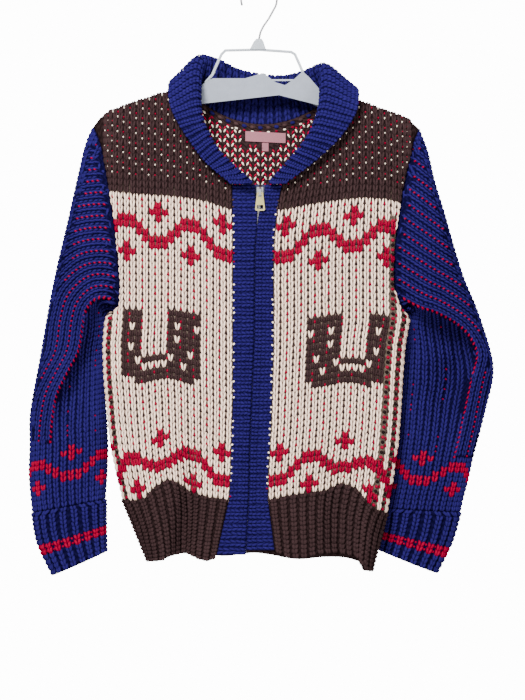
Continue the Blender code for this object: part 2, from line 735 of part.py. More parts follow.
for side, sign in SIGN.items():
    foot = BAND_FOOT[side]
    ribs = round((BAND_TOP - foot) / BAND_RIB_PITCH)
    rows = np.linspace(0, 1, ribs * BAND_STEPS_A_RIB + 1)[:, None]
    z = BAND_TOP + (foot - BAND_TOP) * rows
    by_zip = -1 if side == "right" else 0
    hem_end = HEM_FOOT[side]["x"][by_zip], HEM_FOOT[side]["z"][by_zip]
    edge_x = np.append(front[side][:, 0, 0], hem_end[0])
    edge_z = np.append(front[side][:, 0, 2], hem_end[1])
    outer = by_height(z, edge_z, edge_x) - sign * STEPPED_GAP
    inner = zip_at(z, "x") + sign * zip_at(z, f"{side}_gap")
    share = np.linspace(0, 1, BAND_STEPS + 1)[None] ** BAND_TOWARDS_ZIP
    x = outer + (inner - outer) * share
    z = z + 0 * x
    bump = np.exp(-(((share - BAND_RIDGE_AT) / BAND_RIDGE_WIDE) ** 2))
    roll = BAND_RIDGE * bump * smoothstep((BAND_TOP - BAND_RIDGE_FROM - z) / BAND_RIDGE_GROWS)
    y = body_y(x, z, -1) - BAND_FORWARD
    relief = ribbed(rows, ribs, BAND_RIB_HEIGHT) * np.sin(np.pi * share) ** 0.5
    shown = np.stack([x, y - roll - relief, z], -1)
    wall(f"band_{side}", shown, np.stack([x, y + RIB_WALL, z], -1), "blue wool")

    z = np.linspace(BAND_TOP, foot + 2, 13)[:, None]
    x = zip_at(z, "x") + sign * (TAPE_FROM_ZIP + np.array([[0, 1]]) * TAPE_WIDE)
    z = z + 0 * x
    tape = np.stack([x, body_y(x, z, -1) - BAND_FORWARD + TAPE_Y_IN, z], -1)
    wall(f"zip_tape_{side}", tape, tape + (0, TAPE_THICK, 0), "zip tape")


# -------------------------------------------------------------------------- collar


def neck_edge(row):
    """The middle of the garment's own neck edge at fractional rows of the collar's table, and the way
    into the neck opening there: the edge's direction crossed with the wall's outward one."""
    right, left = (edge_points(side, np.clip(at, 0, NECK_ROW), "inner") for side, at in (
        ("right", NECK_ROW - row), ("left", row - NECK_ROW - NAPE_ROWS),
    ))
    over = np.clip((row - NECK_ROW) / NAPE_ROWS, 0, 1)
    nape_x = NECK_POINT["right"] + (NECK_POINT["left"] - NECK_POINT["right"]) * over
    nape = np.stack([nape_x, nape_z(nape_x)], -1)
    at_right, at_left = (row <= NECK_ROW)[:, None], (row >= NECK_ROW + NAPE_ROWS)[:, None]
    flat = np.where(at_right, right, np.where(at_left, left, nape))
    x, z = flat.T
    face = np.where((at_right | at_left)[:, 0], -1, 1)
    depth = np.abs(np.where(face < 0, body_y(x, z, -1), body_y(x, z, 1)))
    upright = np.minimum(depth / NECK_TURN, 1)
    edge = np.stack([x, face * (depth - upright * KNIT_WALL / 2), z], -1)
    out = np.stack([0 * x, face * upright, 1 - upright], -1)
    return edge, unit(np.cross(np.gradient(edge, axis=0), out))


def collar_sections(seam):
    """For each row of the collar's table, points from the neck seam up the stand, round the roll as a
    half circle, and down to the free edge."""
    crest = np.stack([COLLAR["roll_x"], COLLAR["roll_y"], COLLAR["roll_z"]], -1)
    edge = np.stack([COLLAR["edge_x"], COLLAR["edge_y"], COLLAR["edge_z"]], -1)
    up = unit(crest - (seam + edge) / 2)
    across = seam - edge
    back = unit(across - up * (across * up).sum(-1, keepdims=True))
    radius = COLLAR["radius"][:, None]
    centre = crest - up * radius
    turns = np.radians(COLLAR_TURNS)
    roll = [centre + radius * (math.cos(t) * up + math.sin(t) * back) for t in turns]
    return np.stack([*roll, (roll[-1] + edge) / 2, edge])


collar_rows = len(COLLAR["radius"]) - 1
sections = collar_sections(neck_edge(np.arange(collar_rows + 1.0))[0])
crest = np.stack([COLLAR["roll_x"], COLLAR["roll_y"], COLLAR["roll_z"]], -1)
fine = np.linspace(0, 1, 401)
crest = np.stack([curve(column, fine) for column in crest.T], -1)
collar_ribs = round(line_length(crest) / COLLAR_RIB_PITCH)
share = np.linspace(0, 1, collar_ribs * STEPS_A_RIB + 1)
at = even(crest, share)
plain = np.stack([np.stack([curve(column, at) for column in row.T], -1) for row in sections])
seam, into_neck = neck_edge(at * collar_rows)
lean = 0.5  # how squarely the collar's wall stands across the way in, found in two passes
for _ in range(2):
    first = seam + into_neck * (NECK_GAP + RIB_WALL * lean)
    whole = np.concatenate([first[None], plain])
    whole[:, [0, -1], 2] = COLLAR_END_Z
    n = normals(whole)
    n *= np.sign(n[2, len(share) // 2, 2])
    n[:, [0, -1], 2] = 0
    n = unit(n)
    lean = np.maximum((n[0] * into_neck).sum(-1, keepdims=True), 0)
relief = ribbed(share, collar_ribs, RIB_HEIGHT)[None, :, None]
wall("collar", whole + n * relief, whole - n * RIB_WALL, "blue wool")


# ------------------------------------------------------------------ sleeves and cuffs


def line_distance(x, z, line_x, line_z):
    """Signed distance in the front view to a line of points that runs down, positive on the left-hand side
    as seen (towards -X), and the share of the line at its nearest point."""
    best, signed, share = np.full(x.shape, np.inf), np.zeros(x.shape), np.zeros(x.shape)
    steps = np.hypot(np.diff(line_x), np.diff(line_z))
    start = np.concatenate([[0], np.cumsum(steps)])
    for i, step in enumerate(steps):
        dx, dz = (line_x[i + 1] - line_x[i]) / step, (line_z[i + 1] - line_z[i]) / step
        t = np.clip((x - line_x[i]) * dx + (z - line_z[i]) * dz, 0, step)
        px, pz = x - line_x[i] - dx * t, z - line_z[i] - dz * t
        far = np.hypot(px, pz)
        closer = far < best
        best = np.where(closer, far, best)
        signed = np.where(closer, np.sign(dx * pz - dz * px) * far, signed)
        share = np.where(closer, (start[i] + t) / start[-1], share)
    return signed, share


def crease(x, z, side):
    """Depth of the sleeve's underarm crease: a low ridge along its line and a trough on the inner side,
    d/w exp(1 - d/w), fading out at both ends."""
    line = SLEEVE_CREASE[side]
    d, share = line_distance(x, z, line["x"], line["z"])
    inside = np.maximum(-d * SIGN[side], 0) / CREASE_WIDTH
    trough = CREASE_DEPTH[side] * inside * np.exp(1 - inside)
    ridge = CREASE_RIDGE * np.exp(-((d / CREASE_WIDTH) ** 2))
    top, foot = CREASE_FADES
    return (trough - ridge) * smoothstep(share / top) * smoothstep((1 - share) / foot)


def sleeve_rings(rows, steps, around, side, armhole):
    """Rings of a sleeve from its table: flattened loops from the inner end round by the front to the
    outer end and back behind. armhole, where given, is the armhole's row and face for each point, and
    the first rings take its shape."""
    at = np.linspace(0, 1, steps + 1)
    inner = np.stack([curve(rows["inner_x"], at), curve(rows["inner_z"], at)], -1)[:, None]
    outer = np.stack([curve(rows["outer_x"], at), curve(rows["outer_z"], at)], -1)[:, None]
    mid, ahead, behind = (curve(rows[name], at)[:, None] for name in ("mid", "front", "back"))
    turn = np.linspace(0, 2 * np.pi, around + 1)[None]
    rise = (1 - np.cos(turn)) / 2
    bulge = np.sign(np.sin(turn)) * np.abs(np.sin(turn)) ** SLEEVE_SQUARE
    bulge[:, [0, -1]] = 0
    flat = inner + (outer - inner) * rise[..., None]
    points = np.stack([flat[..., 0], mid - np.where(turn <= np.pi, ahead, behind) * bulge, flat[..., 1]], -1)
    ring = at * steps
    if armhole is not None:
        rows_at, face = armhole
        seam = edge_points(side, rows_at, "side")
        first = np.stack([seam[:, 0], face * edge_depth(seam[:, 1], side), seam[:, 1]], -1)
        blend = np.maximum(1 - ring / ARMHOLE_BLEND, 0)[:, None, None] ** 1.5
        points += (first - points[0]) * blend
        grown = smoothstep(ring / 1.5)[:, None] * np.clip(np.sin(turn), 0, 1) ** 0.5
        points[..., 1] += crease(points[..., 0], points[..., 2], side) * grown
    return points


def sleeve_wall(name, plain, thick, side, ribs, axis, rim):
    """A slit tube as a wall; the slit is the underarm seam. axis is the way down the sleeve at its sewn
    end, where the rim stands square to it, and rim gives the first ring its rim directions."""
    n = normals(plain)
    n *= np.sign((n * (plain - plain.mean(axis=1, keepdims=True))).sum())
    n[:, 0] = n[:, -1] = unit((plain[:, 0] - plain[:, plain.shape[1] // 2]) * (1, 0, 1))
    sewn = 0 if rim is None else -1
    n[sewn] = unit(n[sewn] - axis * (n[sewn] * axis).sum(-1, keepdims=True))
    if rim is not None:
        n[0] = rim
    relief = ribbed(np.linspace(0, 1, plain.shape[1]), ribs, RIB_HEIGHT)[None, :, None]
    shown, lining = plain + n * relief, plain - n * thick
    for grid in (shown, lining):
        grid[:, 0, 1] = plain[:, 0, 1] - SEAM_GAP / 2
        grid[:, -1, 1] = plain[:, -1, 1] + SEAM_GAP / 2
    wall(name, shown, lining, "blue wool")


for side in SIGN:
    around = 2 * ARMHOLE_SAMPLES
    rows_at = np.concatenate([ARMHOLE_AT[::-1], ARMHOLE_AT[1:]])
    face = np.where(np.arange(around + 1) <= around / 2, -1, 1)
    rim = np.where((face < 0)[:, None], seam_rim(side, rows_at, -1), seam_rim(side, rows_at, 1))
    tube = sleeve_rings(SLEEVE[side], SLEEVE_STEPS, around, side, (rows_at, face))
    axis = unit(tube[-1].mean(axis=0) - tube[-2].mean(axis=0))
    sleeve_wall(f"sleeve_{side}", tube, KNIT_WALL, side, 0, axis, rim)

    ribs = round(line_length(tube[-1]) / CUFF_RIB_PITCH)
    share = np.linspace(0, 1, ribs * STEPS_A_RIB + 1)
    cuff = sleeve_rings(CUFF[side], CUFF_STEPS, len(share) - 1, side, None)
    cuff[0] = along(tube[-1], even(tube[-1], share)) + axis * SEAM_GAP * 1.2
    sleeve_wall(f"cuff_{side}", cuff, RIB_WALL, side, ribs, axis, None)


# ---------------------------------------------------------------------- neck labels

for name, (left, right, top, foot) in (("neck_label", LABEL), ("size_tab", SIZE_TAB)):
    x = np.linspace(left, right, 7)[None] + np.zeros((3, 1))
    z = np.linspace(top, foot, 3)[:, None] + LABEL_SLOPE * (x - LABEL[0])
    y = body_y(x, z, 1) - KNIT_WALL - LABEL_CLEAR
    flat = np.stack([x, y, z], -1)
    wall(name, flat - (0, LABEL_THICK, 0), flat, "woven label")


# --------------------------------------------------------------------------- hanger


def outline(name, loops, thick, spin=(math.pi / 2, 0, 0)):
    """A flat plate: a 2D curve with its holes, extruded to its thickness and made a mesh in its place."""
    data = bpy.data.curves.new(name, "CURVE")
    data.dimensions, data.fill_mode, data.extrude = "2D", "BOTH", thick / 2 * MM
    for loop in loops:
        spline = data.splines.new("POLY")
        spline.points.add(len(loop) - 1)
        spline.points.foreach_set("co", [v for a, b in loop for v in (a * MM, b * MM, 0, 1)])
        spline.use_cyclic_u = True
    return as_mesh(name, data, spin)


def tube(name, points, radius, sides=2):
    """A round bar along points, with its ends filled."""
    data = bpy.data.curves.new(name, "CURVE")
    data.dimensions, data.bevel_depth, data.bevel_resolution = "3D", radius * MM, sides
    data.use_fill_caps = True
    spline = data.splines.new("POLY")
    spline.points.add(len(points) - 1)
    spline.points.foreach_set("co", [v for p in points for v in (p[0] * MM, p[1] * MM, p[2] * MM, 1)])
    return as_mesh(name, data, (0, 0, 0))


def as_mesh(name, data, spin):
    """A curve's evaluated mesh, welded, as a new mesh turned by spin."""
    thing = bpy.data.objects.new(name, data)
    cutters.objects.link(thing)
    graph = bpy.context.evaluated_depsgraph_get()
    mesh = bpy.data.meshes.new_from_object(thing.evaluated_get(graph))
    mesh.transform(Euler(spin).to_matrix().to_4x4())
    bpy.data.objects.remove(thing)
    work = bmesh.new()
    work.from_mesh(mesh)
    bmesh.ops.remove_doubles(work, verts=work.verts, dist=1e-5)
    bmesh.ops.recalc_face_normals(work, faces=work.faces)
    work.to_mesh(mesh)
    work.free()
    mesh.name = name
    return mesh


def block(name, low, high):
    """A box between two corners."""
    work = bmesh.new()
    bmesh.ops.create_cube(work, size=1)
    low, high = np.array(low) * MM, np.array(high) * MM
    for v in work.verts:
        v.co = Vector((low + high) / 2 + np.array(v.co) * (high - low))
    mesh = bpy.data.meshes.new(name)
    work.to_mesh(mesh)
    work.free()
    return mesh


def joined(name, first, others, finish, cuts=()):
    """One solid from several that clearly overlap, less any cuts."""
    thing = keep(name, first, finish)
    for operation, meshes in (("UNION", others), ("DIFFERENCE", cuts)):
        for mesh in meshes:
            tool = bpy.data.objects.new(name + "_tool", mesh)
            tool.hide_render, tool.display_type = True, "WIRE"
            cutters.objects.link(tool)
            step = thing.modifiers.new(operation.lower(), "BOOLEAN")
            step.operation, step.object, step.solver = operation, tool, "EXACT"
    thing.data.set_sharp_from_angle(angle=math.radians(40))
    return thing


# The wire hook: a short stem that leans over, then most of a circle whose inside top is the origin.
centre_radius = HOOK_RADIUS + WIRE
arc = [
    (centre_radius * math.cos(a), 0, HOOK_CENTRE_Z + centre_radius * math.sin(a))
    for a in np.radians(np.linspace(HOOK_FROM, HOOK_TO, 22))
]
stem = [(x, 0, z) for x, z in HOOK_STEM]
keep("hanger_hook", tube("hanger_hook", stem + arc, WIRE), "steel wire")

# The clear moulding: a round bar that frames the neck, a thin bar across it and a gusset for the stem.
bar = tube("hanger_frame", [(x, 0, z) for x, z in LOOP_LINE], LOOP_RADIUS)
cross = tube("crossbar", [(x, 0, CROSSBAR_Z) for x in CROSSBAR_ENDS], CROSSBAR_RADIUS)
gusset = outline("gusset", [GUSSET], GUSSET_THICK)
socket = tube("socket", [(0, 0, SOCKET_FOOT), (0, 0, SOCKET_TOP)], WIRE + SEAM_GAP, 3)
joined("hanger_frame", bar, [cross, gusset], "clear plastic", [socket])

# The arms inside the shoulders: a rounded bar that follows the shoulder line.
angles = np.linspace(0, 2 * np.pi, 13)[:-1] + np.pi / 12
rings = []
for x, top, height, half in zip(*ARM_LINE.values()):
    if not NECK_POINT["right"] < x < NECK_POINT["left"]:
        top = float(shoulder_z(x)) - ARM_BELOW_SHOULDER
    up, across = (np.sign(v) * np.abs(v) ** ARM_SQUARE for v in (np.sin(angles), np.cos(angles)))
    rings.append(np.stack([x + 0 * up, half * across, top + (up - 1) * height / 2], -1))
loft("hanger_arms", np.array(rings), "grey cover")

# The cover: a thin sheet that hangs over the front of the arms.
x = np.unique(np.concatenate([COVER_TOP["x"], COVER_FOOT["x"]]))
top, foot = (np.interp(x, line["x"], line["z"]) for line in (COVER_TOP, COVER_FOOT))
leaf = np.stack([np.stack([x, 0 * x - COVER_FROM_ARM, z], -1) for z in (top, foot)])
wall("hanger_cover", leaf - (0, COVER_THICK, 0), leaf, "grey cover").data.shade_flat()


# ------------------------------------------------------------------ slider and pull tab

slide_x, slide_y, slide_z = SLIDER_MIDDLE
left, right = slide_x - SLIDER_WIDE / 2, slide_x + SLIDER_WIDE / 2
foot, top = slide_z - SLIDER_TALL / 2, slide_z + SLIDER_TALL / 2
front_in, back_in = slide_y - SLIDER_CHANNEL / 2, slide_y + SLIDER_CHANNEL / 2
front_out = front_in - SLIDER_PLATE
plate = block("plate", (left, front_out, foot), (right, front_in, top))
rear = block("rear", (left, back_in, foot), (right, back_in + SLIDER_PLATE, top))
nose = block(
    "nose",
    (slide_x - NOSE_WIDE / 2, front_in - SLIDER_PLATE / 2, top - NOSE_FROM_TOP[0]),
    (slide_x + NOSE_WIDE / 2, back_in + SLIDER_PLATE / 2, top - NOSE_FROM_TOP[1]),
)
# The bail: an arch in the side view, with its opening cut through.
bail_y, bail_z = front_out - BAIL_REACH, foot + BAIL_UP
bail_top = bail_z + BAIL_TALL
arch = [
    (front_out + SLIDER_PLATE / 2, bail_z), (bail_y, bail_z), (bail_y, bail_top - BAIL_SHOULDER[1]),
    (front_out - BAIL_SHOULDER[0], bail_top), (front_out + SLIDER_PLATE / 2, bail_top),
]
opening = [
    (front_out, bail_z + BAIL_LEG), (bail_y + BAIL_STRAP, bail_z + BAIL_LEG),
    (bail_y + BAIL_STRAP, bail_top - BAIL_SHOULDER_IN[1]),
    (front_out - BAIL_SHOULDER_IN[0], bail_top - BAIL_STRAP), (front_out, bail_top - BAIL_STRAP),
]
bail = outline("bail", [arch, opening], BAIL_WIDE, (math.pi / 2, 0, math.pi / 2))
for v in bail.vertices:
    v.co.x += slide_x * MM
joined("zip_slider", plate, [rear, nose, bail], "steel wire")

# The pull hangs by its bar from the bail's lower leg and swings up about the bar.
pull_y = bail_y + BAIL_STRAP + PULL_SWING_GAP
pull_z = bail_z + BAIL_LEG + BAIL_PLAY + PULL_BAR / 2
top, foot = PULL_BAR / 2, PULL_BAR / 2 - PULL_LONG
eye_wide, eye_tall = PULL_EYE
slot_wide, slot_tall = PULL_SLOT
above, below = PULL_CORNERS
sides = [
    (-PULL_TOP_WIDE / 2 + above, top), (PULL_TOP_WIDE / 2 - above, top), (PULL_TOP_WIDE / 2, top - above),
    (PULL_FOOT_WIDE / 2, foot + below), (PULL_FOOT_WIDE / 2 - below, foot),
    (-PULL_FOOT_WIDE / 2 + below, foot), (-PULL_FOOT_WIDE / 2, foot + below), (-PULL_TOP_WIDE / 2, top - above),
]


def slot(wide, foot, tall):
    """A rectangular hole's corners, on the pull's middle line."""
    return [(-wide / 2, foot), (wide / 2, foot), (wide / 2, foot + tall), (-wide / 2, foot + tall)]


eye = slot(eye_wide, -PULL_BAR / 2 - eye_tall, eye_tall)
hole = slot(slot_wide, foot + PULL_SLOT_UP, slot_tall)
pull = keep("zip_pull", outline("zip_pull", [sides, eye, hole], PULL_THICK), "pale gold", smooth=False)
pull.location = (slide_x * MM, pull_y * MM, pull_z * MM)
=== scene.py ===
"""Chunky shawl-collar zip cardigan on a covered clear hanger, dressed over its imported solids.

Tables and measures are in millimetres and meshes in metres, +Z up. The front faces -Y and the wearer's
right is at -X. Each knitted piece is a thin shell with every stitch of its right side laid on it as two
short legs of yarn.
"""

import math

import bpy
import numpy as np
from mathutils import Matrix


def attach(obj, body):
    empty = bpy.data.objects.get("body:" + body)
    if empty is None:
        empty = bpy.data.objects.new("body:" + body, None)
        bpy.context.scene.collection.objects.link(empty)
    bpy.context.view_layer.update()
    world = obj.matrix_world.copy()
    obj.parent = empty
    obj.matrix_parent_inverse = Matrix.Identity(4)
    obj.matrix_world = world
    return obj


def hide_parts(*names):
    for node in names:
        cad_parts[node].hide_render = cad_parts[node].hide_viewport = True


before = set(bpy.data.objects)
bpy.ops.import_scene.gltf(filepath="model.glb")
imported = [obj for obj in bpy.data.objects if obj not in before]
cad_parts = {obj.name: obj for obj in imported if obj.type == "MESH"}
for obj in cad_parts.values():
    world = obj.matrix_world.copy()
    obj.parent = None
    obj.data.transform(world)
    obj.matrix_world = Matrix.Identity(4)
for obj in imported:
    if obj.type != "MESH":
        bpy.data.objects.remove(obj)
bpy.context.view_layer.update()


# ------------------------------------------------------------------ camera and room
# The camera stands level in front, 3 m away, so that 1.3 mm of the garment is one pixel of the picture.
# A pale floor lies under the hanging cardigan and a white wall stands well behind it.

CAMERA_FAR, CLOTH_NEAR = 3.0, 0.02  # metres from the middle plane to the lens and to the fronts' cloth
VIEW_WIDE, SENSOR = 0.6825, 36  # metres across the picture at the cloth, and the film's millimetres
VIEW_X, VIEW_Z = 0.0046, -0.481  # the picture's middle
camera = bpy.data.objects.new("camera", bpy.data.cameras.new("camera"))
bpy.context.scene.collection.objects.link(camera)
camera.location = (VIEW_X, -CAMERA_FAR, VIEW_Z)
camera.rotation_euler = (math.pi / 2, 0, 0)
camera.data.sensor_fit, camera.data.sensor_width = "HORIZONTAL", SENSOR
camera.data.lens = SENSOR * (CAMERA_FAR - CLOTH_NEAR) / VIEW_WIDE
camera.data.clip_end = 50
bpy.context.scene.camera = camera


class Wire:
    """A shader socket that takes part in arithmetic: each operator makes one Math node."""

    def __init__(self, tree, socket=None):
        self.tree, self.socket = tree, socket

    def node(self, kind, settings=None, out=0, **values):
        """The output called out of a new node, with its settings, and its inputs set or linked by name.
        An input called _0, _1 and so on is taken by its number."""
        made = self.tree.nodes.new("ShaderNode" + kind)
        for key, value in (settings or {}).items():
            setattr(made, key, value)
        for key, value in values.items():
            socket = made.inputs[int(key[1:]) if key[0] == "_" else key.replace("_", " ")]
            if isinstance(value, Wire):
                self.tree.links.new(value.socket, socket)
            else:
                socket.default_value = value
        return Wire(self.tree, made.outputs[out])

    def math(self, operation, first, second=0.0):
        return self.node("Math", {"operation": operation}, _0=first, _1=second)

    def __add__(self, other):
        return self.math("ADD", self, other)

    def __mul__(self, other):
        return self.math("MULTIPLY", self, other)

    def sine(self):
        return self.math("SINE", self)

    __radd__, __rmul__ = __add__, __mul__


def finish(name, **values):
    """A new material: its Principled shader, with the named sockets set, and a wire to add nodes by."""
    made = bpy.data.materials.new(name)
    made.use_nodes = True
    shader = made.node_tree.nodes["Principled BSDF"]
    for key, value in values.items():
        shader.inputs[key.replace("_", " ")].default_value = value
    return made, shader, Wire(made.node_tree)


def feed(shader, **wires):
    """Links wires to the shader's named sockets."""
    for key, wire in wires.items():
        wire.tree.links.new(wire.socket, shader.inputs[key.replace("_", " ")])


def quad_mesh(name, points, quads, material, attributes=None, smooth=True):
    """An object from points in millimetres and quads of their numbers, with any attributes of its points,
    a colour where they have 4 columns and a vector where they have 3."""
    mesh = bpy.data.meshes.new(name)
    points, quads = np.asarray(points, np.float32).reshape(-1, 3) * 0.001, np.asarray(quads, np.int32)
    mesh.vertices.add(len(points))
    mesh.vertices.foreach_set("co", points.ravel())
    mesh.loops.add(quads.size)
    mesh.loops.foreach_set("vertex_index", quads.ravel())
    mesh.polygons.add(len(quads))
    mesh.polygons.foreach_set("loop_start", np.arange(0, quads.size, 4, dtype=np.int32))
    mesh.update(calc_edges=True)
    for key, values in (attributes or {}).items():
        kind, field = ("FLOAT_COLOR", "color") if values.shape[-1] == 4 else ("FLOAT_VECTOR", "vector")
        made = mesh.attributes.new(key, kind, "POINT")
        made.data.foreach_set(field, np.asarray(values, np.float32).ravel())
    mesh.polygons.foreach_set("use_smooth", np.full(len(quads), smooth))
    mesh.materials.append(material)
    thing = bpy.data.objects.new(name, mesh)
    bpy.context.scene.collection.objects.link(thing)
    return thing


FLOOR_Z = -1600.0  # the rail that the hanger hooks on is as high above the floor as a shop's
FLOOR_CORNERS = [(-4000, -5000), (4000, -5000), (4000, 3600), (-4000, 3600)]
floor_paint, shader, w = finish("studio floor", Roughness=0.9, Base_Color=(0.93, 0.93, 0.93, 1))
floor_points = np.c_[FLOOR_CORNERS, np.full(4, FLOOR_Z)]
floor = quad_mesh("floor", floor_points, [(0, 1, 2, 3)], floor_paint, smooth=False)

# The walls give soft fill, and look white where the picture shows them.
WALL_FILL, WALL_SEEN = 0.8, 14.0
room = bpy.data.worlds.new("room")
bpy.context.scene.world = room
room.use_nodes = True
sky = room.node_tree.nodes["Background"]
sky.inputs["Color"].default_value = (1, 1, 1, 1)
seen = Wire(room.node_tree).node("LightPath", out=0)
room.node_tree.links.new((seen * (WALL_SEEN - WALL_FILL) + WALL_FILL).socket, sky.inputs["Strength"])


def soft_light(name, at, aim, size, power):
    """A square area lamp at one point that faces another."""
    lamp = bpy.data.lights.new(name, "AREA")
    lamp.shape, lamp.size, lamp.energy = "SQUARE", size, power
    thing = bpy.data.objects.new(name, lamp)
    thing.location = at
    away = np.array(at) - np.array(aim)
    thing.rotation_euler = (
        math.acos(away[2] / np.linalg.norm(away)), 0, math.atan2(away[1], away[0]) + math.pi / 2,
    )
    bpy.context.scene.collection.objects.link(thing)


CHEST = (0, 0, -0.4)
soft_light("key light", (-0.8, -2.15, 1.3), CHEST, 0.8, 290)
soft_light("fill light", (1.8, -1.8, 0.2), CHEST, 1.6, 55)


# ----------------------------------------------------------- fronts, cloth and stitches
# The two fronts: chunky stocking stitch, cream below a brown yoke, with two red borders and a horseshoe.
# Each is knitted to shape at the neck and armhole, and sewn to the back, band, sleeve and hem rib.

SEAM_GAP, KNIT_WALL, RIB_WALL = 0.3, 4.2, 4.4


def table(names, rows):
    """A table as one array for each named column."""
    return dict(zip(names.split(), np.array(rows, float).T))


SHOULDER_SAMPLES, ARMHOLE_SAMPLES, SIDE_SAMPLES, NECK_SAMPLES = 22, 24, 28, 16  # steps of the grids
TOWARDS_SIDE, TOWARDS_ENDS = 1.35, 0.09  # how much closer the steps lie at the side and the armhole's ends
ARMHOLE_DEPTH = 21.0  # half of the armhole's depth from front to back
SIDE_ROUND, SHOULDER_DROP = 40.0, 66.0  # over which the cloth turns to the side seam and to the shoulder
CROWN_ROWS = 6.0  # of EDGES, over which a panel's rows flatten from its top edge
WAVE_ROW, WAVE_ROWS = 13.0, 4.0  # where a front's rows start to take the rib's wave, and over how many

# Depth of the cloth in front of and behind the middle plane, by height.
DEPTH = table("z front back", [
    (-130, 21, 20),
    (-200, 27, 23),
    (-300, 31, 25),
    (-440, 33, 27),
    (-560, 33, 28),
    (-680, 34, 29),
    (-780, 35, 30),
])

# The shoulder line from the right shoulder's end to the left one's, over both neck points.
SHOULDER = table("x z", [
    (-218, -188), (-209, -176), (-196, -167), (-170, -157), (-131, -144), (-116, -141), (-92, -137),
    (95, -142), (129, -152), (143, -157), (178, -170), (196, -177), (211, -191),
])
NECK_POINT = {"right": -92.0, "left": 95.0}

# A front's long inner edge (neckline, then zip band) and its outer edge
# (armhole, then side seam). The row named UNDERARM_ROW ends the armhole.
UNDERARM_ROW = 10
HEM_TOP_ROW = 17
EDGES = {
    "right": table("inner_x inner_z side_x side_z", [
        (-92, -137, -218, -188),
        (-91, -156, -213, -198),
        (-86, -179, -207, -214),
        (-75, -208, -199, -250),
        (-58, -234, -194, -281),
        (-35, -261, -187, -328),
        (-35, -292, -184, -362),
        (-34, -332, -181, -395),
        (-34, -370, -183, -421),
        (-34, -410, -191, -432),
        (-34, -439, -202, -439),
        (-34, -474, -205, -474),
        (-34, -510, -204, -510),
        (-34, -546, -201, -546),
        (-35, -578, -198, -578),
        (-36, -611, -194, -611),
        (-37, -644, -187, -644),
        (-39, -675, -179, -676),
        (-48, -715, -164, -715),
        (-56, -750, -146, -757),
    ]),
    "left": table("inner_x inner_z side_x side_z", [
        (95, -142, 211, -191),
        (92, -161, 204, -205),
        (87, -182, 198, -228),
        (73, -209, 192, -250),
        (56, -234, 185, -286),
        (31, -261, 178, -335),
        (25, -292, 176, -370),
        (20, -332, 177, -400),
        (19, -370, 183, -420),
        (19, -410, 192, -433),
        (19, -442, 198, -441),
        (19, -474, 192, -474),
        (18, -510, 189, -510),
        (17, -546, 187, -546),
        (16, -578, 185, -578),
        (14, -611, 182, -611),
        (12, -644, 177, -644),
        (12, -675, 168, -694),
        (16, -715, 162, -728),
        (21, -742, 148, -770),
    ]),
}

# The wavy top edge of the hem rib and the hem's foot, from the side inwards.
RIB_TOP = {
    "right": table("x z", [
        (-179, -676), (-161, -676), (-149, -673), (-134, -657), (-117, -648), (-105, -653),
        (-91, -665), (-66, -671), (-39, -675),
    ]),
    "left": table("x z", [
        (12, -675), (44, -668), (87, -663), (107, -654), (124, -658), (143, -680), (153, -688), (168, -694),
    ]),
}
HEM_FOOT = {
    "right": table("x z", [
        (-146, -757), (-124, -753), (-117, -749), (-94, -745), (-77, -752), (-66, -754), (-56, -750),
    ]),
    "left": table("x z", [
        (21, -742), (38, -750), (58, -750), (78, -745), (101, -745), (127, -749), (131, -757), (138, -767),
        (148, -770),
    ]),
}

# Folds: each runs from a top to a foot, where it is deepest. Depth is inwards.
FRONT_FOLDS = table("top_x top_z foot_x foot_z depth width", [
    (-72, -540, -100, -730, 20, 13),
    (-150, -560, -132, -740, -7, 15),
    (-52, -600, -66, -740, -5, 13),
    (92, -540, 104, -730, 17, 18),
    (150, -600, 140, -750, -6, 14),
    (44, -600, 55, -740, -5, 16),
])
BACK_FOLDS = table("top_x top_z foot_x foot_z depth width", [
    (-70, -420, -88, -740, 13, 20),
    (22, -480, 12, -740, 10, 17),
    (82, -400, 96, -740, 14, 20),
    (-30, -560, -36, -740, -6, 18),
    (52, -560, 54, -740, -6, 16),
])


def unit(v):
    """v at length 1 along its last axis."""
    return v / np.maximum(np.linalg.norm(v, axis=-1, keepdims=True), 1e-9)


def normals(grid):
    """Unit normals of a grid of points: the cross product of its two directions."""
    return unit(np.cross(np.gradient(grid, axis=0), np.gradient(grid, axis=1)))


def curve(values, t):
    """A smooth curve through equally spaced values, read at t from 0 to 1 (Catmull-Rom)."""
    values = np.asarray(values, float)
    last = len(values) - 1
    padded = np.concatenate([[2 * values[0] - values[1]], values, [2 * values[-1] - values[-2]]])
    place = np.clip(np.asarray(t, float) * last, 0, last - 1e-9)
    i = place.astype(int)
    f = place - i
    a, b, c, d = padded[i], padded[i + 1], padded[i + 2], padded[i + 3]
    return b + 0.5 * f * (c - a + f * (2 * a - 5 * b + 4 * c - d + f * (3 * (b - c) + d - a)))


def smooth(points, t):
    """A smooth line through points, read at t from 0 to 1."""
    return np.stack([curve(column, t) for column in points.T], -1)


def points_of(rows, name, axes):
    """The columns of a table that give one line's points, such as edge_x and edge_z."""
    return np.stack([rows[name + axis] for axis in axes], -1)


def smoothstep(t):
    """0 up to t = 0, 1 from t = 1, and a smooth rise between."""
    t = np.clip(t, 0, 1)
    return t * t * (3 - 2 * t)


SIGN = {"right": -1.0, "left": 1.0}


def by_height(z, heights, values):
    """values read at height z, where heights run downwards."""
    return np.interp(-z, -heights, values)


def edge_x(side, edge, z):
    """x of a body panel's edge, inner or side, at height z."""
    return by_height(z, EDGES[side][edge + "_z"], EDGES[side][edge + "_x"])


def shoulder_z(x):
    """The height of the shoulder line over x, about level between the two neck points."""
    return np.interp(x, SHOULDER["x"], SHOULDER["z"])


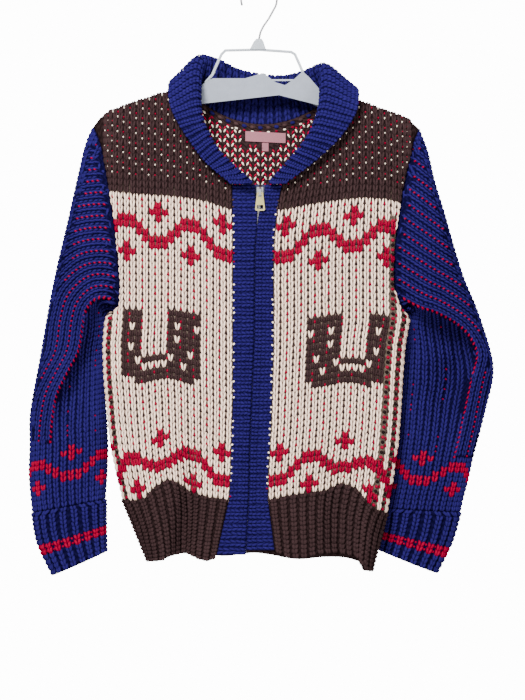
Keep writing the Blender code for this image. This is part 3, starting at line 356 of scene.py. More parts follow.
def fold_depth(x, z, folds):
    """The sum of the folds: each is a bell across its line, growing smoothly from its top to its foot."""
    total = np.zeros(np.broadcast(x, z).shape)
    for top_x, top_z, foot_x, foot_z, depth, width in zip(*folds.values()):
        along = (top_z - z) / (top_z - foot_z)
        middle = top_x + (foot_x - top_x) * np.clip(along, 0, 1.1)
        total += depth * smoothstep(along) * np.exp(-(((x - middle) / width) ** 2))
    return total


def edge_depth(z, side):
    """How far the armhole stands from the middle plane: a half circle from shoulder to underarm, then 0."""
    rows = EDGES[side]
    top, foot = rows["side_z"][0], rows["side_z"][UNDERARM_ROW]
    share = np.clip((z - foot) / (top - foot), 0, 1)
    return ARMHOLE_DEPTH * np.sqrt(np.maximum(0, 1 - (2 * share - 1) ** 2))


def body_y(x, z, face):
    """y of the cloth's outer surface. face is -1 in front, +1 behind. Away from the sides it stands at the
    depth for its height, falls to the middle plane over the shoulder as a quarter ellipse, turns to the
    side seam as another, and carries the folds."""
    x, z = np.broadcast_arrays(x, z)
    full = by_height(z, DEPTH["z"], DEPTH["front" if face < 0 else "back"])
    below = np.clip((shoulder_z(x) - z) / SHOULDER_DROP, 0, 1)
    full = full * np.sqrt(1 - (1 - below) ** 2)
    edge, near = np.zeros(x.shape), np.zeros(x.shape)
    for side, sign in SIGN.items():
        here = x * sign >= 0
        edge = np.where(here, edge_depth(z, side), edge)
        near = np.where(here, (edge_x(side, "side", z) - x) * sign, near)
    turn = np.sqrt(1 - (1 - np.clip(near / SIDE_ROUND, 0, 1)) ** 2)
    folds = FRONT_FOLDS if face < 0 else BACK_FOLDS
    return face * (edge + (full - edge) * turn - turn * fold_depth(x, z, folds))


def edge_points(side, rows_at, edge):
    """x and z down a body panel's edge, inner or side, at fractional row numbers."""
    line = points_of(EDGES[side], edge + "_", "xz")
    return smooth(line, rows_at / (len(line) - 1))


def seam_rim(side, rows_at, face):
    """The direction in which a seam's rims run through the wall: down an armhole it turns from up and out
    at the shoulder to forward at the middle and to down and out under the arm, the same for body and
    sleeve, and below the underarm it is straight out of the side."""
    turned = np.pi * (1 - np.clip(rows_at / UNDERARM_ROW, 0, 1))
    out = SIGN[side] * (0.25 + 0.45 * np.cos(turned) ** 2)
    rim = unit(np.stack([out, face * np.sin(turned), -0.8 * np.cos(turned)], -1))
    straight = np.array([SIGN[side], 0.0, 0.0])
    return np.where((rows_at <= UNDERARM_ROW)[:, None], rim, straight)


def fade_down(rows_at, end):
    """1 on the first row, falling smoothly to 0 on the row called end."""
    return (1 - np.clip(rows_at / end, 0, 1)) ** 2


def facing(surface, face):
    """Normals of a body grid, on the side that face names."""
    n = normals(surface)
    return n * np.sign((n[..., 1] * face).sum())


def ribbed(across, count, height):
    """Height of count round ribs over a share across from 0 to 1, with a hollow at both ends."""
    return height * np.sin(np.pi * count * across) ** 2


def line_length(points):
    """Length of a line of points."""
    return np.linalg.norm(np.diff(points, axis=0), axis=1).sum()


def even(points, share):
    """Where along a line of points (0 to 1 by point number) it has run a share of its own length."""
    run = np.concatenate([[0], np.cumsum(np.linalg.norm(np.diff(points, axis=0), axis=1))])
    return np.interp(share * run[-1], run, np.linspace(0, 1, len(points)))


def run_along(grid, axis):
    """How far each point of a grid has run from its line's first one, along rows or columns."""
    first = grid[:1] if axis == 0 else grid[:, :1]
    return np.cumsum(np.linalg.norm(np.diff(grid, axis=axis, prepend=first), axis=2), axis=axis)


def along(points, share):
    """Points read at a share from 0 to 1 along a line of points."""
    at = np.linspace(0, 1, len(points))
    return np.stack([np.interp(share, at, column) for column in points.T], -1)


def lerp(a, b, share):
    """From a to b by a share."""
    return a + (b - a) * share


def read(grid, row, column):
    """A grid of points read between its rows and columns, bilinearly."""
    row = np.clip(row, 0, grid.shape[0] - 1.0001)
    column = np.clip(column, 0, grid.shape[1] - 1.0001)
    i, j = row.astype(int), column.astype(int)
    f, g = (row - i)[..., None], (column - j)[..., None]
    return lerp(lerp(grid[i, j], grid[i, j + 1], g), lerp(grid[i + 1, j], grid[i + 1, j + 1], g), f)


LEG_STATIONS = 5  # points along a leg of yarn
LEG_END = 0.4  # half-width of a leg's end as a share of its middle's
LEG_ROUND = np.radians((-100, -35, 35, 100))  # the part of its section that shows
chance = np.random.default_rng(7)


def legs(at, start, end, half, thick, rise, colour):
    """Legs of yarn as half tubes. at(u, v) gives points and normals of the knitted surface; start and end
    are each leg's u and v there. Along a leg its half-width swells from LEG_END to 1 as a sine, it rises
    off the surface by rise times the sine, less 0.6 of its thickness at the ends, and its flanks and ends
    are painted darker, as painted shade of the yarn's own curve."""
    count = len(start)
    t = np.linspace(0, 1, LEG_STATIONS)
    arch = np.sin(np.pi * t)
    p, n = at(lerp(start[:, :1], end[:, :1], t), lerp(start[:, 1:], end[:, 1:], t))
    side = unit(np.cross(n, np.gradient(p, axis=1)))
    half, thick, rise = (np.broadcast_to(np.asarray(x, float), count)[:, None] for x in (half, thick, rise))
    swell = LEG_END + (1 - LEG_END) * np.sin(np.pi * t**0.8)
    out = (thick * swell)[..., None] * np.cos(LEG_ROUND) + (rise * arch - 0.6 * thick * (1 - arch))[..., None]
    across = (half * swell)[..., None] * np.sin(LEG_ROUND)
    points = p[:, :, None] + side[:, :, None] * across[..., None] + n[:, :, None] * out[..., None]
    ply = np.stack(np.broadcast_arrays(
        run_along(p, 1)[:, :, None], np.linspace(0, 1, len(LEG_ROUND)), chance.random(count)[:, None, None],
    ), -1)
    # Painted shade: each leg's colour falls towards its ends and its flanks, where the yarn curves away.
    painted_self_shade = (0.62 + 0.38 * arch[:, None] ** 0.5) * (0.20 + 0.80 * np.maximum(np.cos(LEG_ROUND), 0) ** 0.7)
    shade = (colour * chance.uniform(0.88, 1.1, (count, 1)))[:, None, None] * painted_self_shade[None, :, :, None]
    paint = np.concatenate([shade, np.ones((count, LEG_STATIONS, len(LEG_ROUND), 1))], -1)
    return points, paint, ply


def yarn_piece(name, groups):
    """One piece of the garment from groups of legs, each a tuple from legs."""
    points, paint, ply = (np.concatenate([group[i] for group in groups]) for i in range(3))
    count, stations, around = points.shape[:3]
    number = np.arange(points.size // 3).reshape(count, stations, around)
    corner = number[:, :-1, :-1], number[:, 1:, :-1], number[:, 1:, 1:], number[:, :-1, 1:]
    piece = quad_mesh(name, points, np.stack(corner, -1).reshape(-1, 4), yarn,
                      {"yarn": paint.reshape(-1, 4), "ply": ply.reshape(-1, 3)})
    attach(piece, "garment")
    return piece


def vees(at, u, v, colour, wide=1.0, tall=1.0, half=1.4, thick=1.8, rise=0.9, sideways=False):
    """V stitches centred at u, v: two legs that lie apart at the top and meet at the foot, of one wale by
    one course times wide and tall. sideways turns them to point along u."""
    u, v = u + chance.uniform(-0.03, 0.03, u.shape), v + chance.uniform(-0.04, 0.04, v.shape)
    place = (lambda a, b: at(b, a)) if sideways else at
    across, along_wale = (v, u) if sideways else (u, v)
    made = []
    for sign in (-1, 1):
        top = np.stack([across + sign * 0.32 * wide, along_wale - 0.72 * tall], -1)
        foot = np.stack([across + sign * 0.08 * wide, along_wale + 0.74 * tall], -1)
        made.append(legs(place, top, foot, half, thick, rise, colour))
    return made


def specks(at, u, v, colour, half=0.9, tall=0.3, thick=0.9, rise=0.2, lean=0.0):
    """Short ends of a second yarn that show between two wales at u, v."""
    start, end = np.stack([u - lean, v - tall], -1), np.stack([u + lean, v + tall], -1)
    return [legs(at, start, end, half, thick, rise, colour)]


def shell(name, shown, lining, outside, inside, sink=0.35):
    """The cloth under the stitches: a closed wall between a grid of shown points, sunk towards the lining
    by a share, and the lining itself. outside and inside are colours, one for all or one for each point."""
    shown = lerp(shown, lining, sink)
    rows, columns = shown.shape[:2]
    number = np.arange(rows * columns).reshape(rows, columns)
    quads = np.stack([number[:-1, :-1], number[:-1, 1:], number[1:, 1:], number[1:, :-1]], -1).reshape(-1, 4)
    rim = np.concatenate([number[0, :-1], number[:-1, -1], number[-1, :0:-1], number[:0:-1, 0]])
    far, after = rows * columns, np.roll(rim, -1)
    quads = np.concatenate([quads, quads[:, ::-1] + far, np.stack([rim, rim + far, after + far, after], -1)])
    i, j = rows // 2, columns // 2
    out = np.cross(shown[i, j + 1] - shown[i, j], shown[i + 1, j] - shown[i, j])
    if (out * (shown[i, j] - lining[i, j])).sum() < 0:
        quads = quads[:, ::-1]
    paint = np.concatenate([np.broadcast_to(c, (rows, columns, 3)).reshape(-1, 3) for c in (outside, inside)])
    across = run_along(shown, 1)
    knit = np.stack([across, run_along(shown, 0), 0 * across], -1).reshape(-1, 3)
    piece = quad_mesh(name, np.concatenate([shown.reshape(-1, 3), lining.reshape(-1, 3)]), quads, cloth, {
        "yarn": np.c_[paint, np.ones(len(paint))], "knit": np.concatenate([knit, knit]),
    })
    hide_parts(name.removesuffix("_cloth"))
    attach(piece, "garment")
    return piece


WALE, COURSE = 8.45, 8.75  # the width and height of a stitch in stocking stitch
PURL_COURSE = 8.6  # between the purl side's arcs
CREAM, RED = np.array((0.80, 0.585, 0.46)), np.array((0.175, 0.0002, 0.016))
BROWN, BLUE = np.array((0.023, 0.0125, 0.0130)), np.array((0.0105, 0.0065, 0.060))
WHITE = np.array((0.80, 0.68, 0.55))


def wool(name, roughness, channel):
    """A wool finish: its material and shader, a wire, the parts of a vector attribute, and fine fibres."""
    made, shader, w = finish(name, Roughness=roughness, Specular_IOR_Level=0.0)
    vector = w.node("Attribute", {"attribute_name": channel}, out=1)
    parts = [vector.node("SeparateXYZ", out=i, Vector=vector) for i in range(3)]
    place = w.node("TexCoord", out=3)
    fibre = w.node("TexNoise", Vector=place, Scale=900.0, Detail=3.0, Roughness=0.6)
    return made, shader, w, parts, place, fibre


def toned(w, tone):
    """The piece's own colours times a tone."""
    colour = w.node("Attribute", {"attribute_name": "yarn"})
    return w.node("VectorMath", {"operation": "SCALE"}, _0=colour, Scale=tone)


# Yarn: wool of two plies, so its surface has slanting ridges 3 mm apart along a leg and a fine fibre nap.
yarn, shader, w, (run, around, lot), place, fibre = wool("yarn", 0.9, "ply")
patch = w.node("TexNoise", Vector=place, Scale=45.0, Detail=2.0)
twist = (run * 2.1 + around * 5.0 + lot * 6.0).sine() * 0.5 + 0.5
# Painted shade: the colour also falls in the grooves between the plies, with the twist's height.
lit = toned(w, fibre * 0.30 + patch * 0.16 + twist * 0.14 + 0.70)
bump = w.node("Bump", Strength=0.5, Distance=0.0006, Height=twist * 0.6 + fibre * 0.5)
feed(shader, Base_Color=lit, Normal=bump, Roughness=0.82 + fibre * 0.15)

# Cloth: the purl side of the same knitting. Its bumps are arcs, one for each wale and course.
cloth, shader, w, (u, v, _), _, fibre = wool("cloth", 0.95, "knit")
arcs = ((v * (2 * math.pi / PURL_COURSE)) + (u * (2 * math.pi / WALE)).sine() * 1.3).sine() * 0.5 + 0.5
# Painted shade: the colour falls between the arcs, with their height.
lit = toned(w, arcs * 0.45 + fibre * 0.3 + 0.4)
bump = w.node("Bump", Strength=0.8, Distance=0.0014, Height=arcs + fibre * 0.25)
feed(shader, Base_Color=lit, Normal=bump)


evenly = np.linspace(0, 1, ARMHOLE_SAMPLES + 1)
ARMHOLE_AT = UNDERARM_ROW * (evenly - TOWARDS_ENDS * np.sin(2 * np.pi * evenly))
ROWS_AT = np.concatenate([ARMHOLE_AT, np.linspace(UNDERARM_ROW, HEM_TOP_ROW, SIDE_SAMPLES + 1)[1:]])
ACROSS = 1 - (1 - np.linspace(0, 1, SHOULDER_SAMPLES + 1)) ** TOWARDS_SIDE


def front_plan(side):
    """x and z of a front's grid: straight rows from the inner edge to the side, lifted to the shoulder
    line at the top and to the rib's wavy edge at the foot."""
    inner, outer = edge_points(side, ROWS_AT, "inner"), edge_points(side, ROWS_AT, "side")
    plan = inner[:, None] + (outer - inner)[:, None] * ACROSS[None, :, None]
    x, z = plan[..., 0], plan[..., 1]
    z += (shoulder_z(x[0]) - z[0]) * fade_down(ROWS_AT, CROWN_ROWS)[:, None]
    rib = RIB_TOP[side]
    waved = smoothstep((ROWS_AT[:, None] - WAVE_ROW) / WAVE_ROWS)
    z += (np.interp(x[-1], rib["x"], rib["z"]) - z[-1]) * waved
    return x, z


BACK_NECK_X, BACK_NECK_HALF, BACK_NECK_DROP, BACK_NECK_ROUND = 2.0, 93.0, 44.0, 0.7


def nape_z(x):
    """The height of the shoulder line, less the scoop of the back neck."""
    level = np.clip((x - BACK_NECK_X) / BACK_NECK_HALF, -1, 1)
    return shoulder_z(x) - BACK_NECK_DROP * np.cos(level * np.pi / 2) ** BACK_NECK_ROUND


def back_plan():
    """x and z of the back's grid. Its first row runs over one shoulder, round the back neck and over
    the other; rows below flatten into straight ones between the side seams."""
    right, left = (edge_points(side, ROWS_AT, "side") for side in SIGN)
    neck_r, neck_l = NECK_POINT["right"], NECK_POINT["left"]
    over_neck = (1 - np.cos(np.linspace(0, np.pi, NECK_SAMPLES + 1)[1:-1])) / 2
    top = np.concatenate([
        (neck_r + (right[0, 0] - neck_r) * ACROSS)[::-1],
        neck_r + (neck_l - neck_r) * over_neck,
        neck_l + (left[0, 0] - neck_l) * ACROSS,
    ])
    share = ((top - top[0]) / (top[-1] - top[0]))[None, :, None]
    plan = right[:, None] + (left - right)[:, None] * share
    x, z = plan[..., 0], plan[..., 1]
    z += (nape_z(top) - z[0]) * fade_down(ROWS_AT, CROWN_ROWS)[:, None]
    return x, z


def body_grid(x, z, face, edges, shoulder):
    """A panel's outer points and its lining's. edges names each side column (column to side), which is
    drawn back by half a seam gap and whose rim follows seam_rim; shoulder marks the points of the first
    row that lie on the shoulder seam, whose rim stands upright in the middle plane."""
    surface = np.stack([x, body_y(x, z, face), z], -1)
    n = facing(surface, face)
    n[0, shoulder] = unit(n[0, shoulder] * (1, 0, 1))
    to_side = np.min([np.abs(x[-1] - x[-1, column]) for column in edges], axis=0)
    straight = smoothstep(to_side / SIDE_ROUND)[:, None]
    n[-1] = unit(n[-1] * (1, 1, 0) * (1 - straight) + np.array((0, face, 0)) * straight)
    surface[0, shoulder, 1] += face * SEAM_GAP / 2
    lining = surface - n * KNIT_WALL
    for column, side in edges.items():
        rim = seam_rim(side, ROWS_AT, face)
        surface[:, column, 0] -= SIGN[side] * SEAM_GAP
        surface[:, column, 1] = face * (edge_depth(z[:, column], side) + SEAM_GAP / 2)
        lining[:, column] = surface[:, column] - rim * KNIT_WALL
        low = ROWS_AT > UNDERARM_ROW
        lining[low, column, 1] = surface[low, column, 1]
    lining[0, shoulder, 1] = surface[0, shoulder, 1]
    return surface, lining


FRONT_WALES, COURSES, YOKE_COURSES = 22, 45, 19
FRONT_WIDE, SIDE_DEEP = 168, 31  # of the cloth, and how far back it turns at the side
SETTLE = 2.5  # the power with which the courses take the shape of the rib's edge
SETTLE_ROUNDS = 4  # in which a stitch's x and z, each worked out from the other, come to rest
YOKE_Z, NECK_FOOT = -285, -266  # where the yoke ends, about, and the neckline does
YOKE_OVERLAP = 7  # how far down the yoke's brown cloth runs under the first cream stitches
BASE = 1.5  # how far the stitches' surface lies under the cloth's
YOKE_EDGE = {
    "right": table("x z", [(-194, -275), (-164, -279), (-122, -281), (-87, -285), (-68, -289), (-38, -299)]),
    "left": table("x z", [(29, -300), (64, -293), (96, -288), (134, -284), (164, -285.5), (183, -290)]),
}

# Charts, from the top row down and from the band outwards: . cream, R red, B brown.
BORDER = (
    "..........",
    ".R........",
    "RRR.......",
    ".R...RRR..",
    "....RRRRR.",
    "...RR...RR",
    "RRRR.....R",
    "RRR...R...",
    ".....RRR..",
    "......R...",
)
HORSESHOE = (
    "BBBBB....BBB",
    "BBBBB....BBB",
    ".BB.B....B.B",
    "BBBBB....BBB",
    "BBB.B....BBB",
    "BBBBB....B.B",
    "B.BBB....BBB",
    "BBBB.BBBB.BB",
    "BB.BB....BBB",
    "BBBBBBBBBBBB",
    ".BBBBBBBBB..",
)
SHOE_COLUMN, SHOE_ROW, LOW_BORDER_ROW = 5, 17, 35
CHART_YARNS = np.stack([CREAM, RED, BROWN])


def chart(rows):
    """A chart as numbers of CHART_YARNS."""
    return np.array([[".RB".index(stitch) for stitch in row] for row in rows])


def border_yarns(picked, column, row, first):
    """picked, with the border's chart laid on it from its first row down, repeated across."""
    drawn = chart(BORDER)
    inside = (row >= first) & (row < first + len(drawn))
    return np.where(inside, drawn[np.clip(row - first, 0, len(drawn) - 1), column % drawn.shape[1]], picked)


def front_yarns(column, row):
    """The colour of each stitch by its column from the band and its row from the yoke's edge."""
    picked = border_yarns(border_yarns(0 * column, column, row, 0), column, row, LOW_BORDER_ROW)
    shoe = chart(HORSESHOE)
    i, j = row - SHOE_ROW, column - SHOE_COLUMN
    inside = (i >= 0) & (i < shoe.shape[0]) & (j >= 0) & (j < shoe.shape[1])
    picked = np.where(inside, shoe[np.where(inside, i, 0), np.where(inside, j, 0)], picked)
    return CHART_YARNS[np.where(row < 0, 2, picked)]


def turned_share(wide, ends=1):
    """Shares of a panel's width at equal steps along the cloth, which turns back at one or both ends as a
    quarter ellipse SIDE_ROUND wide and SIDE_DEEP deep."""
    across = np.linspace(0, 1, 401)
    from_side = (1 - across if ends == 1 else np.minimum(across, 1 - across)) * wide
    depth = SIDE_DEEP * np.sqrt(1 - (1 - np.clip(from_side / SIDE_ROUND, 0, 1)) ** 2)
    run = np.concatenate([[0], np.cumsum(np.hypot(np.diff(across * wide), np.diff(depth)))])
    return run / run[-1], across


def side_at(side, z):
    """x of the side seam at a height, carried straight up above the underarm."""
    return edge_x(side, "side", np.minimum(z, EDGES[side]["side_z"][UNDERARM_ROW]))


def front_lattice(side):
    """x and z at wale u from the band and course v from the yoke's edge. Courses are even below the
    yoke's edge and take the shape of the rib's edge with the power SETTLE."""
    rib, yoke, share = RIB_TOP[side], YOKE_EDGE[side], turned_share(FRONT_WIDE)

    def plan(u, v):
        across, z = np.interp(u / FRONT_WALES, *share), YOKE_Z - v * COURSE
        for _ in range(SETTLE_ROUNDS):
            x = lerp(edge_x(side, "inner", np.minimum(z, NECK_FOOT)), side_at(side, z), across)
            top, foot = np.interp(x, yoke["x"], yoke["z"]), np.interp(x, rib["x"], rib["z"])
            z = top - v * COURSE + (foot - top + COURSES * COURSE) * np.clip(v / COURSES, 0, 1) ** SETTLE
        return x, z

    return plan


def body_point(x, z, face, base=BASE):
    """Points of the body's surface over x and z, less base along their normals, and the normals."""
    slope_x = (body_y(x + 1, z, face) - body_y(x - 1, z, face)) / 2
    slope_z = (body_y(x, z + 1, face) - body_y(x, z - 1, face)) / 2
    n = unit(np.stack([-face * slope_x, face + 0 * x, -face * slope_z], -1))
    return np.stack([x, body_y(x, z, face), z], -1) - n * base, n


def front_limits(side, z):
    """The panel's x from the band or neckline to the side or armhole at a height, times the side's sign."""
    return (edge_x(side, edge, z) * SIGN[side] for edge in ("inner", "side"))


def within(x, z, low, high, top, spare):
    """Whether points lie within a panel's limits, with some to spare."""
    return (x > low - spare) & (x < high + spare) & (z < top + spare)


def on_front(side, plan):
    """at(u, v) for a front, with what lies past the panel's edges drawn in to them."""
    def at(u, v):
        x, z = plan(u, v)
        low, high = front_limits(side, z)
        x = np.clip(x * SIGN[side], low + 1, high - 1) * SIGN[side]
        return body_point(x, np.minimum(z, shoulder_z(x) - 1), -1)

    return at


def cells(columns, first_row, last_row):
    """Column and row numbers of a field of stitches."""
    column, row = np.meshgrid(np.arange(columns), np.arange(first_row, last_row))
    return column.ravel(), row.ravel()


LADDERS = {"right": (19,), "left": (17, 19)}  # wales left out, where the strands lie bare as rungs
RUNG_STEP, FIRST_RUNG = 0.72, 4  # courses between the rungs, and the first that shows
LEG_HALF = 1.45, 1.95  # of a leg's width, in the cream and in the colours, whose yarn is thicker
CREAM_GREEN = 0.1  # the cream is the one yarn with more green than this
FLECK_STEP, FIRST_FLECK = 0.77, -2.2  # courses from one of the yoke's flecks to the next, and to the lowest
FLECK_ROWS = 26
# Painted shade: the cloth under the stitches is coloured far darker than its yarn, so that the gaps between
# the stitches look shaded.
CLOTH_PAINTED_SHADE, YOKE_PAINTED_SHADE = 0.10, 0.5  # the cloth under the stitches, as a share of their colours
OPEN_GAPS = 3  # between wales at the side, a little wider than the others
NEAR_EDGE, FROM_EDGE = 3, -2  # how far a vee's middle may lie past the panel's edge, and a fleck's inside it


def stitch_half(tint):
    """The half-width of the legs of each colour."""
    return np.where(tint[:, 1] > CREAM_GREEN, *LEG_HALF)


def gap_ends(at, column, row, keep, wales):
    """The stranded yarns behind the cream, where they show between two wales: brown, with red in two of
    three places of every second gap, and red and brown by turns in the open gaps."""
    below = keep & (row >= 0) & (row < COURSES - 1) & (column > 0)
    open_gap = column >= wales - OPEN_GAPS
    red = (column % 2 == 0) & ((row + column // 2) % 3 > 0) | (open_gap & (row % 2 == 0))
    size = np.where(open_gap, 1.8, np.where(column % 2 == 0, 1.5, 1.3))
    return specks(at, column[below] + 0.0, row[below] + 0.68, np.where(red[:, None], RED, BROWN)[below],
                  half=size[below], tall=0.30, thick=1.1, rise=1.0)


def yoke_flecks(at, column, row, keep):
    """The yoke's flecks up each gap: white, red above it, and a place left out, by turns; the next gap's
    are two places on."""
    v = FIRST_FLECK + row * FLECK_STEP
    place = (-row + 2 * column) % 3
    shown = keep & (column > 0) & (place < 2) & (row < 0)
    tint = np.where((place == 0)[:, None], WHITE * 0.7, RED)
    return specks(at, column[shown] + 0.0, v[shown], tint[shown], half=1.15, tall=0.18, thick=1.2, rise=0.9)


for side, sign in SIGN.items():
    x, z = front_plan(side)
    surface, lining = body_grid(x, z, -1, {-1: side}, np.ones(x.shape[1], bool))
    lining[1:, 0] = surface[1:, 0] + (0, KNIT_WALL, 0)
    edge = np.interp(x, YOKE_EDGE[side]["x"], YOKE_EDGE[side]["z"])
    upper = (z > edge - YOKE_OVERLAP)[..., None]
    # Painted shade on the cloth's outside, where it shows between the stitches.
    outside = np.where(upper, BROWN * YOKE_PAINTED_SHADE, CREAM * CLOTH_PAINTED_SHADE)
    inside = np.where(upper, BROWN, lerp(CREAM, BROWN, 0.5))
    base = shell(f"front_{side}_cloth", surface, lining, outside, inside)
    plan = front_lattice(side)
    at = on_front(side, plan)
    column, row = cells(FRONT_WALES, -YOKE_COURSES, COURSES)
    x, z = plan(column + 0.5, row + 0.5)
    keep = within(x * sign, z, *front_limits(side, z), shoulder_z(x), NEAR_EDGE)
    tint = front_yarns(column, row)
    keep &= ~(np.isin(column, LADDERS[side]) & (tint[:, 1] > CREAM_GREEN) & (row > 1))
    made = vees(at, column[keep] + 0.5, row[keep] + 0.5, tint[keep], half=stitch_half(tint[keep]))
    rung = np.arange(FIRST_RUNG, COURSES / RUNG_STEP)
    # Painted shade: the brown rungs take under half of the brown's colour, as they lie sunk in the open wale.
    tint = np.where((rung % 2 == 0)[:, None], RED * 1.1, BROWN * 0.4)
    for ladder in LADDERS[side]:
        made += specks(at, ladder + 0.5 + 0 * rung, rung * RUNG_STEP, tint,
                       half=2.3, tall=0.0, thick=1.7, rise=0.7, lean=0.36)
    made += gap_ends(at, column, row, keep, FRONT_WALES)
    column, row = cells(FRONT_WALES, -FLECK_ROWS, 0)
    x, z = plan(column + 0.0, row * FLECK_STEP + FIRST_FLECK)
    keep = within(x * sign, z, *front_limits(side, z), shoulder_z(x), FROM_EDGE)
    made += yoke_flecks(at, column, row, keep)
    stitches = yarn_piece(f"front_{side}_stitches", made)


# ---------------------------------------------------------------------------- back
# The back: one piece over both shoulders in the same wool and borders. Its inside shows in the neck,
# where the stranded yarns lie as short vees of red, cream and brown.

BACK_WALES, BACK_COURSES, BACK_YOKE, BACK_BORDER_COLUMN = 46, 46, 17, 8
BACK_YOKE_Z, BACK_WIDE, BACK_ROUNDS = -284.0, 400, 3
BACK_FOOT = np.array(((-179, -676), (168, -694)), float)


def back_lattice(u, v):
    """x and z at wale u from the right side seam and course v from the yoke's edge."""
    across, z = np.interp(u / BACK_WALES, *turned_share(BACK_WIDE, ends=2)), BACK_YOKE_Z - v * COURSE
    for _ in range(BACK_ROUNDS):
        x = lerp(side_at("right", z), side_at("left", z), across)
        stretch = np.interp(x, *BACK_FOOT.T) - BACK_YOKE_Z + BACK_COURSES * COURSE
        z = BACK_YOKE_Z - v * COURSE + stretch * np.clip(v / BACK_COURSES, 0, 1)
    return x, z


def back_limits(z):
    """The back's x from its right edge to its left one at a height."""
    return (edge_x(side, "side", z) for side in SIGN)


def on_back(u, v):
    """at(u, v) for the back, with what lies past the panel's edges drawn in to them."""
    x, z = back_lattice(u, v)
    low, high = back_limits(z)
    x = np.clip(x, low + 1, high - 1)
    return body_point(x, np.minimum(z, nape_z(x) - 1), 1)


x, z = back_plan()
number = np.arange(x.shape[1])
on_shoulder = (number <= SHOULDER_SAMPLES) | (number >= SHOULDER_SAMPLES + NECK_SAMPLES)
surface, lining = body_grid(x, z, 1, {0: "right", -1: "left"}, on_shoulder)
# Painted shade on the cloth's outside, where it shows between the stitches.
upper = (z > BACK_YOKE_Z - YOKE_OVERLAP)[..., None]
outside = np.where(upper, BROWN * YOKE_PAINTED_SHADE, CREAM * CLOTH_PAINTED_SHADE)
inside = np.where(upper, BROWN * 0.9, lerp(CREAM, BROWN, 0.5))
base = shell("back_cloth", surface, lining, outside, inside)
column, row = cells(BACK_WALES, -BACK_YOKE, BACK_COURSES)
x, z = back_lattice(column + 0.5, row + 0.5)
keep = within(x, z, *back_limits(z), nape_z(x), NEAR_EDGE)
picked = 0 * column
for border_row in (0, LOW_BORDER_ROW + 1):
    picked = border_yarns(picked, column + BACK_BORDER_COLUMN, row, border_row)
tint = CHART_YARNS[np.where(row < 0, 2, picked)][keep]
made = vees(on_back, column[keep] + 0.5, row[keep] + 0.5, tint, half=stitch_half(tint))
made += gap_ends(on_back, column, row, keep, BACK_WALES)
column, row = cells(BACK_WALES, 2 - FLECK_ROWS, 0)
x, z = back_lattice(column + 0.0, row * FLECK_STEP + FIRST_FLECK)
made += yoke_flecks(on_back, column, row, within(x, z, *back_limits(z), nape_z(x), FROM_EDGE))
stitches = yarn_piece("back_stitches", made)

# Inside the neck: wide vees in threes down each column, neighbouring columns half a step apart.
INSIDE_WALE, INSIDE_STEP, INSIDE_TOP = 10.0, 12.6, -150
LABEL_PLACES = ((-20, 37, -211, -190), (2, 14, -221, -200))  # x and z ranges of the label and the size tab


def inside_point(x, z, base):
    """Points of the back's lining, base less than the wall behind its outer surface, and their normals."""
    p, n = body_point(*np.broadcast_arrays(x, z), 1, KNIT_WALL - base)
    return p, -n


def inside_plan(u, v):
    """x and z u columns across from the middle of the back neck and v steps down."""
    return BACK_NECK_X + u * INSIDE_WALE, INSIDE_TOP - v * INSIDE_STEP


def inside_back(u, v):
    """at(u, v) for the back's lining, not higher than 12 mm under the nape."""
    x, z = inside_plan(u, v)
    return inside_point(x, np.minimum(z, nape_z(x) - 12), 0.6)


column, row = cells(21, 0, 30)
third = row % 3
u, v = column - 10.0, (row // 3) + third / 3 + np.where(column % 2 == 0, 0.0, 0.5) + 0.5
# Painted light: the red inside the neck is made half again as bright, to make up for the shade there.
tint = np.stack([RED * 1.5, WHITE, BROWN])[third]
x, z = inside_plan(u, v)
keep = z < nape_z(x) - 10
for left, right, foot, top in LABEL_PLACES:
    keep &= ~((x > left) & (x < right) & (z > foot) & (z < top))
made = vees(inside_back, u[keep], v[keep], tint[keep], wide=1.5, tall=0.36, half=1.3, thick=1.5, rise=0.8)

# The seam inside the neck: blue and brown ends by turns, and under them a row of red and white ones.
NAPE_STEP = 10.6


def along_nape(u, v):
    """at(u, v) for the back neck's inner edge: u steps from its middle and v mm below it."""
    x = BACK_NECK_X + u * NAPE_STEP
    return inside_point(x, nape_z(x) - v, 0.8)


u = np.arange(-8, 9) + 0.0
for drop, first, second, size in (
    (4.5, BLUE, BROWN * 1.6, {"half": 2.9, "tall": 0.8, "thick": 2.2, "lean": 0.42}),
    (10.3, RED, WHITE, {"half": 1.5, "tall": 0.4, "thick": 1.6, "lean": 0.28}),
):
    tint = np.where((u % 2 == 0)[:, None], first, second)
    made += specks(along_nape, u, 0 * u + drop, tint, rise=0.8, **size)
inside = yarn_piece("back_inside_stitches", made)


# ----------------------------------------------------------------------- hem ribs
# Brown rib at the foot of each panel: one raised wale of stitches a rib, with a furrow between, its cloth
# painted darker as painted shade.

HEM_RIB_PITCH, RIB_HEIGHT, RIB_COURSE, RIB_FINE = 11.5, 2.0, 6.3, 6
HEM_BACK_WAVE, HEM_BACK_WAVES = 7.0, 3


HEM_BACK_LIFT = 8.0  # how much higher the back's foot hangs than the fronts'


def evened(grid, count):
    """A grid with its columns read again at count even steps of their own length."""
    share = np.linspace(0, 1, count)
    return np.stack([along(line, even(line, share)) for line in grid.transpose(1, 0, 2)], 1)


def on_grid(points, out, wales, courses):
    """at(u, v) for a grid of points and its outward normals: u of wales across, v of courses down."""
    rows, columns = points.shape[0] - 1, points.shape[1] - 1

    def at(u, v):
        u, v = np.broadcast_arrays(u, v)
        i, j = v / courses * rows, u / wales * columns
        n = unit(read(out, i, j))
        return read(points, i, j) - n * BASE, n

    return at


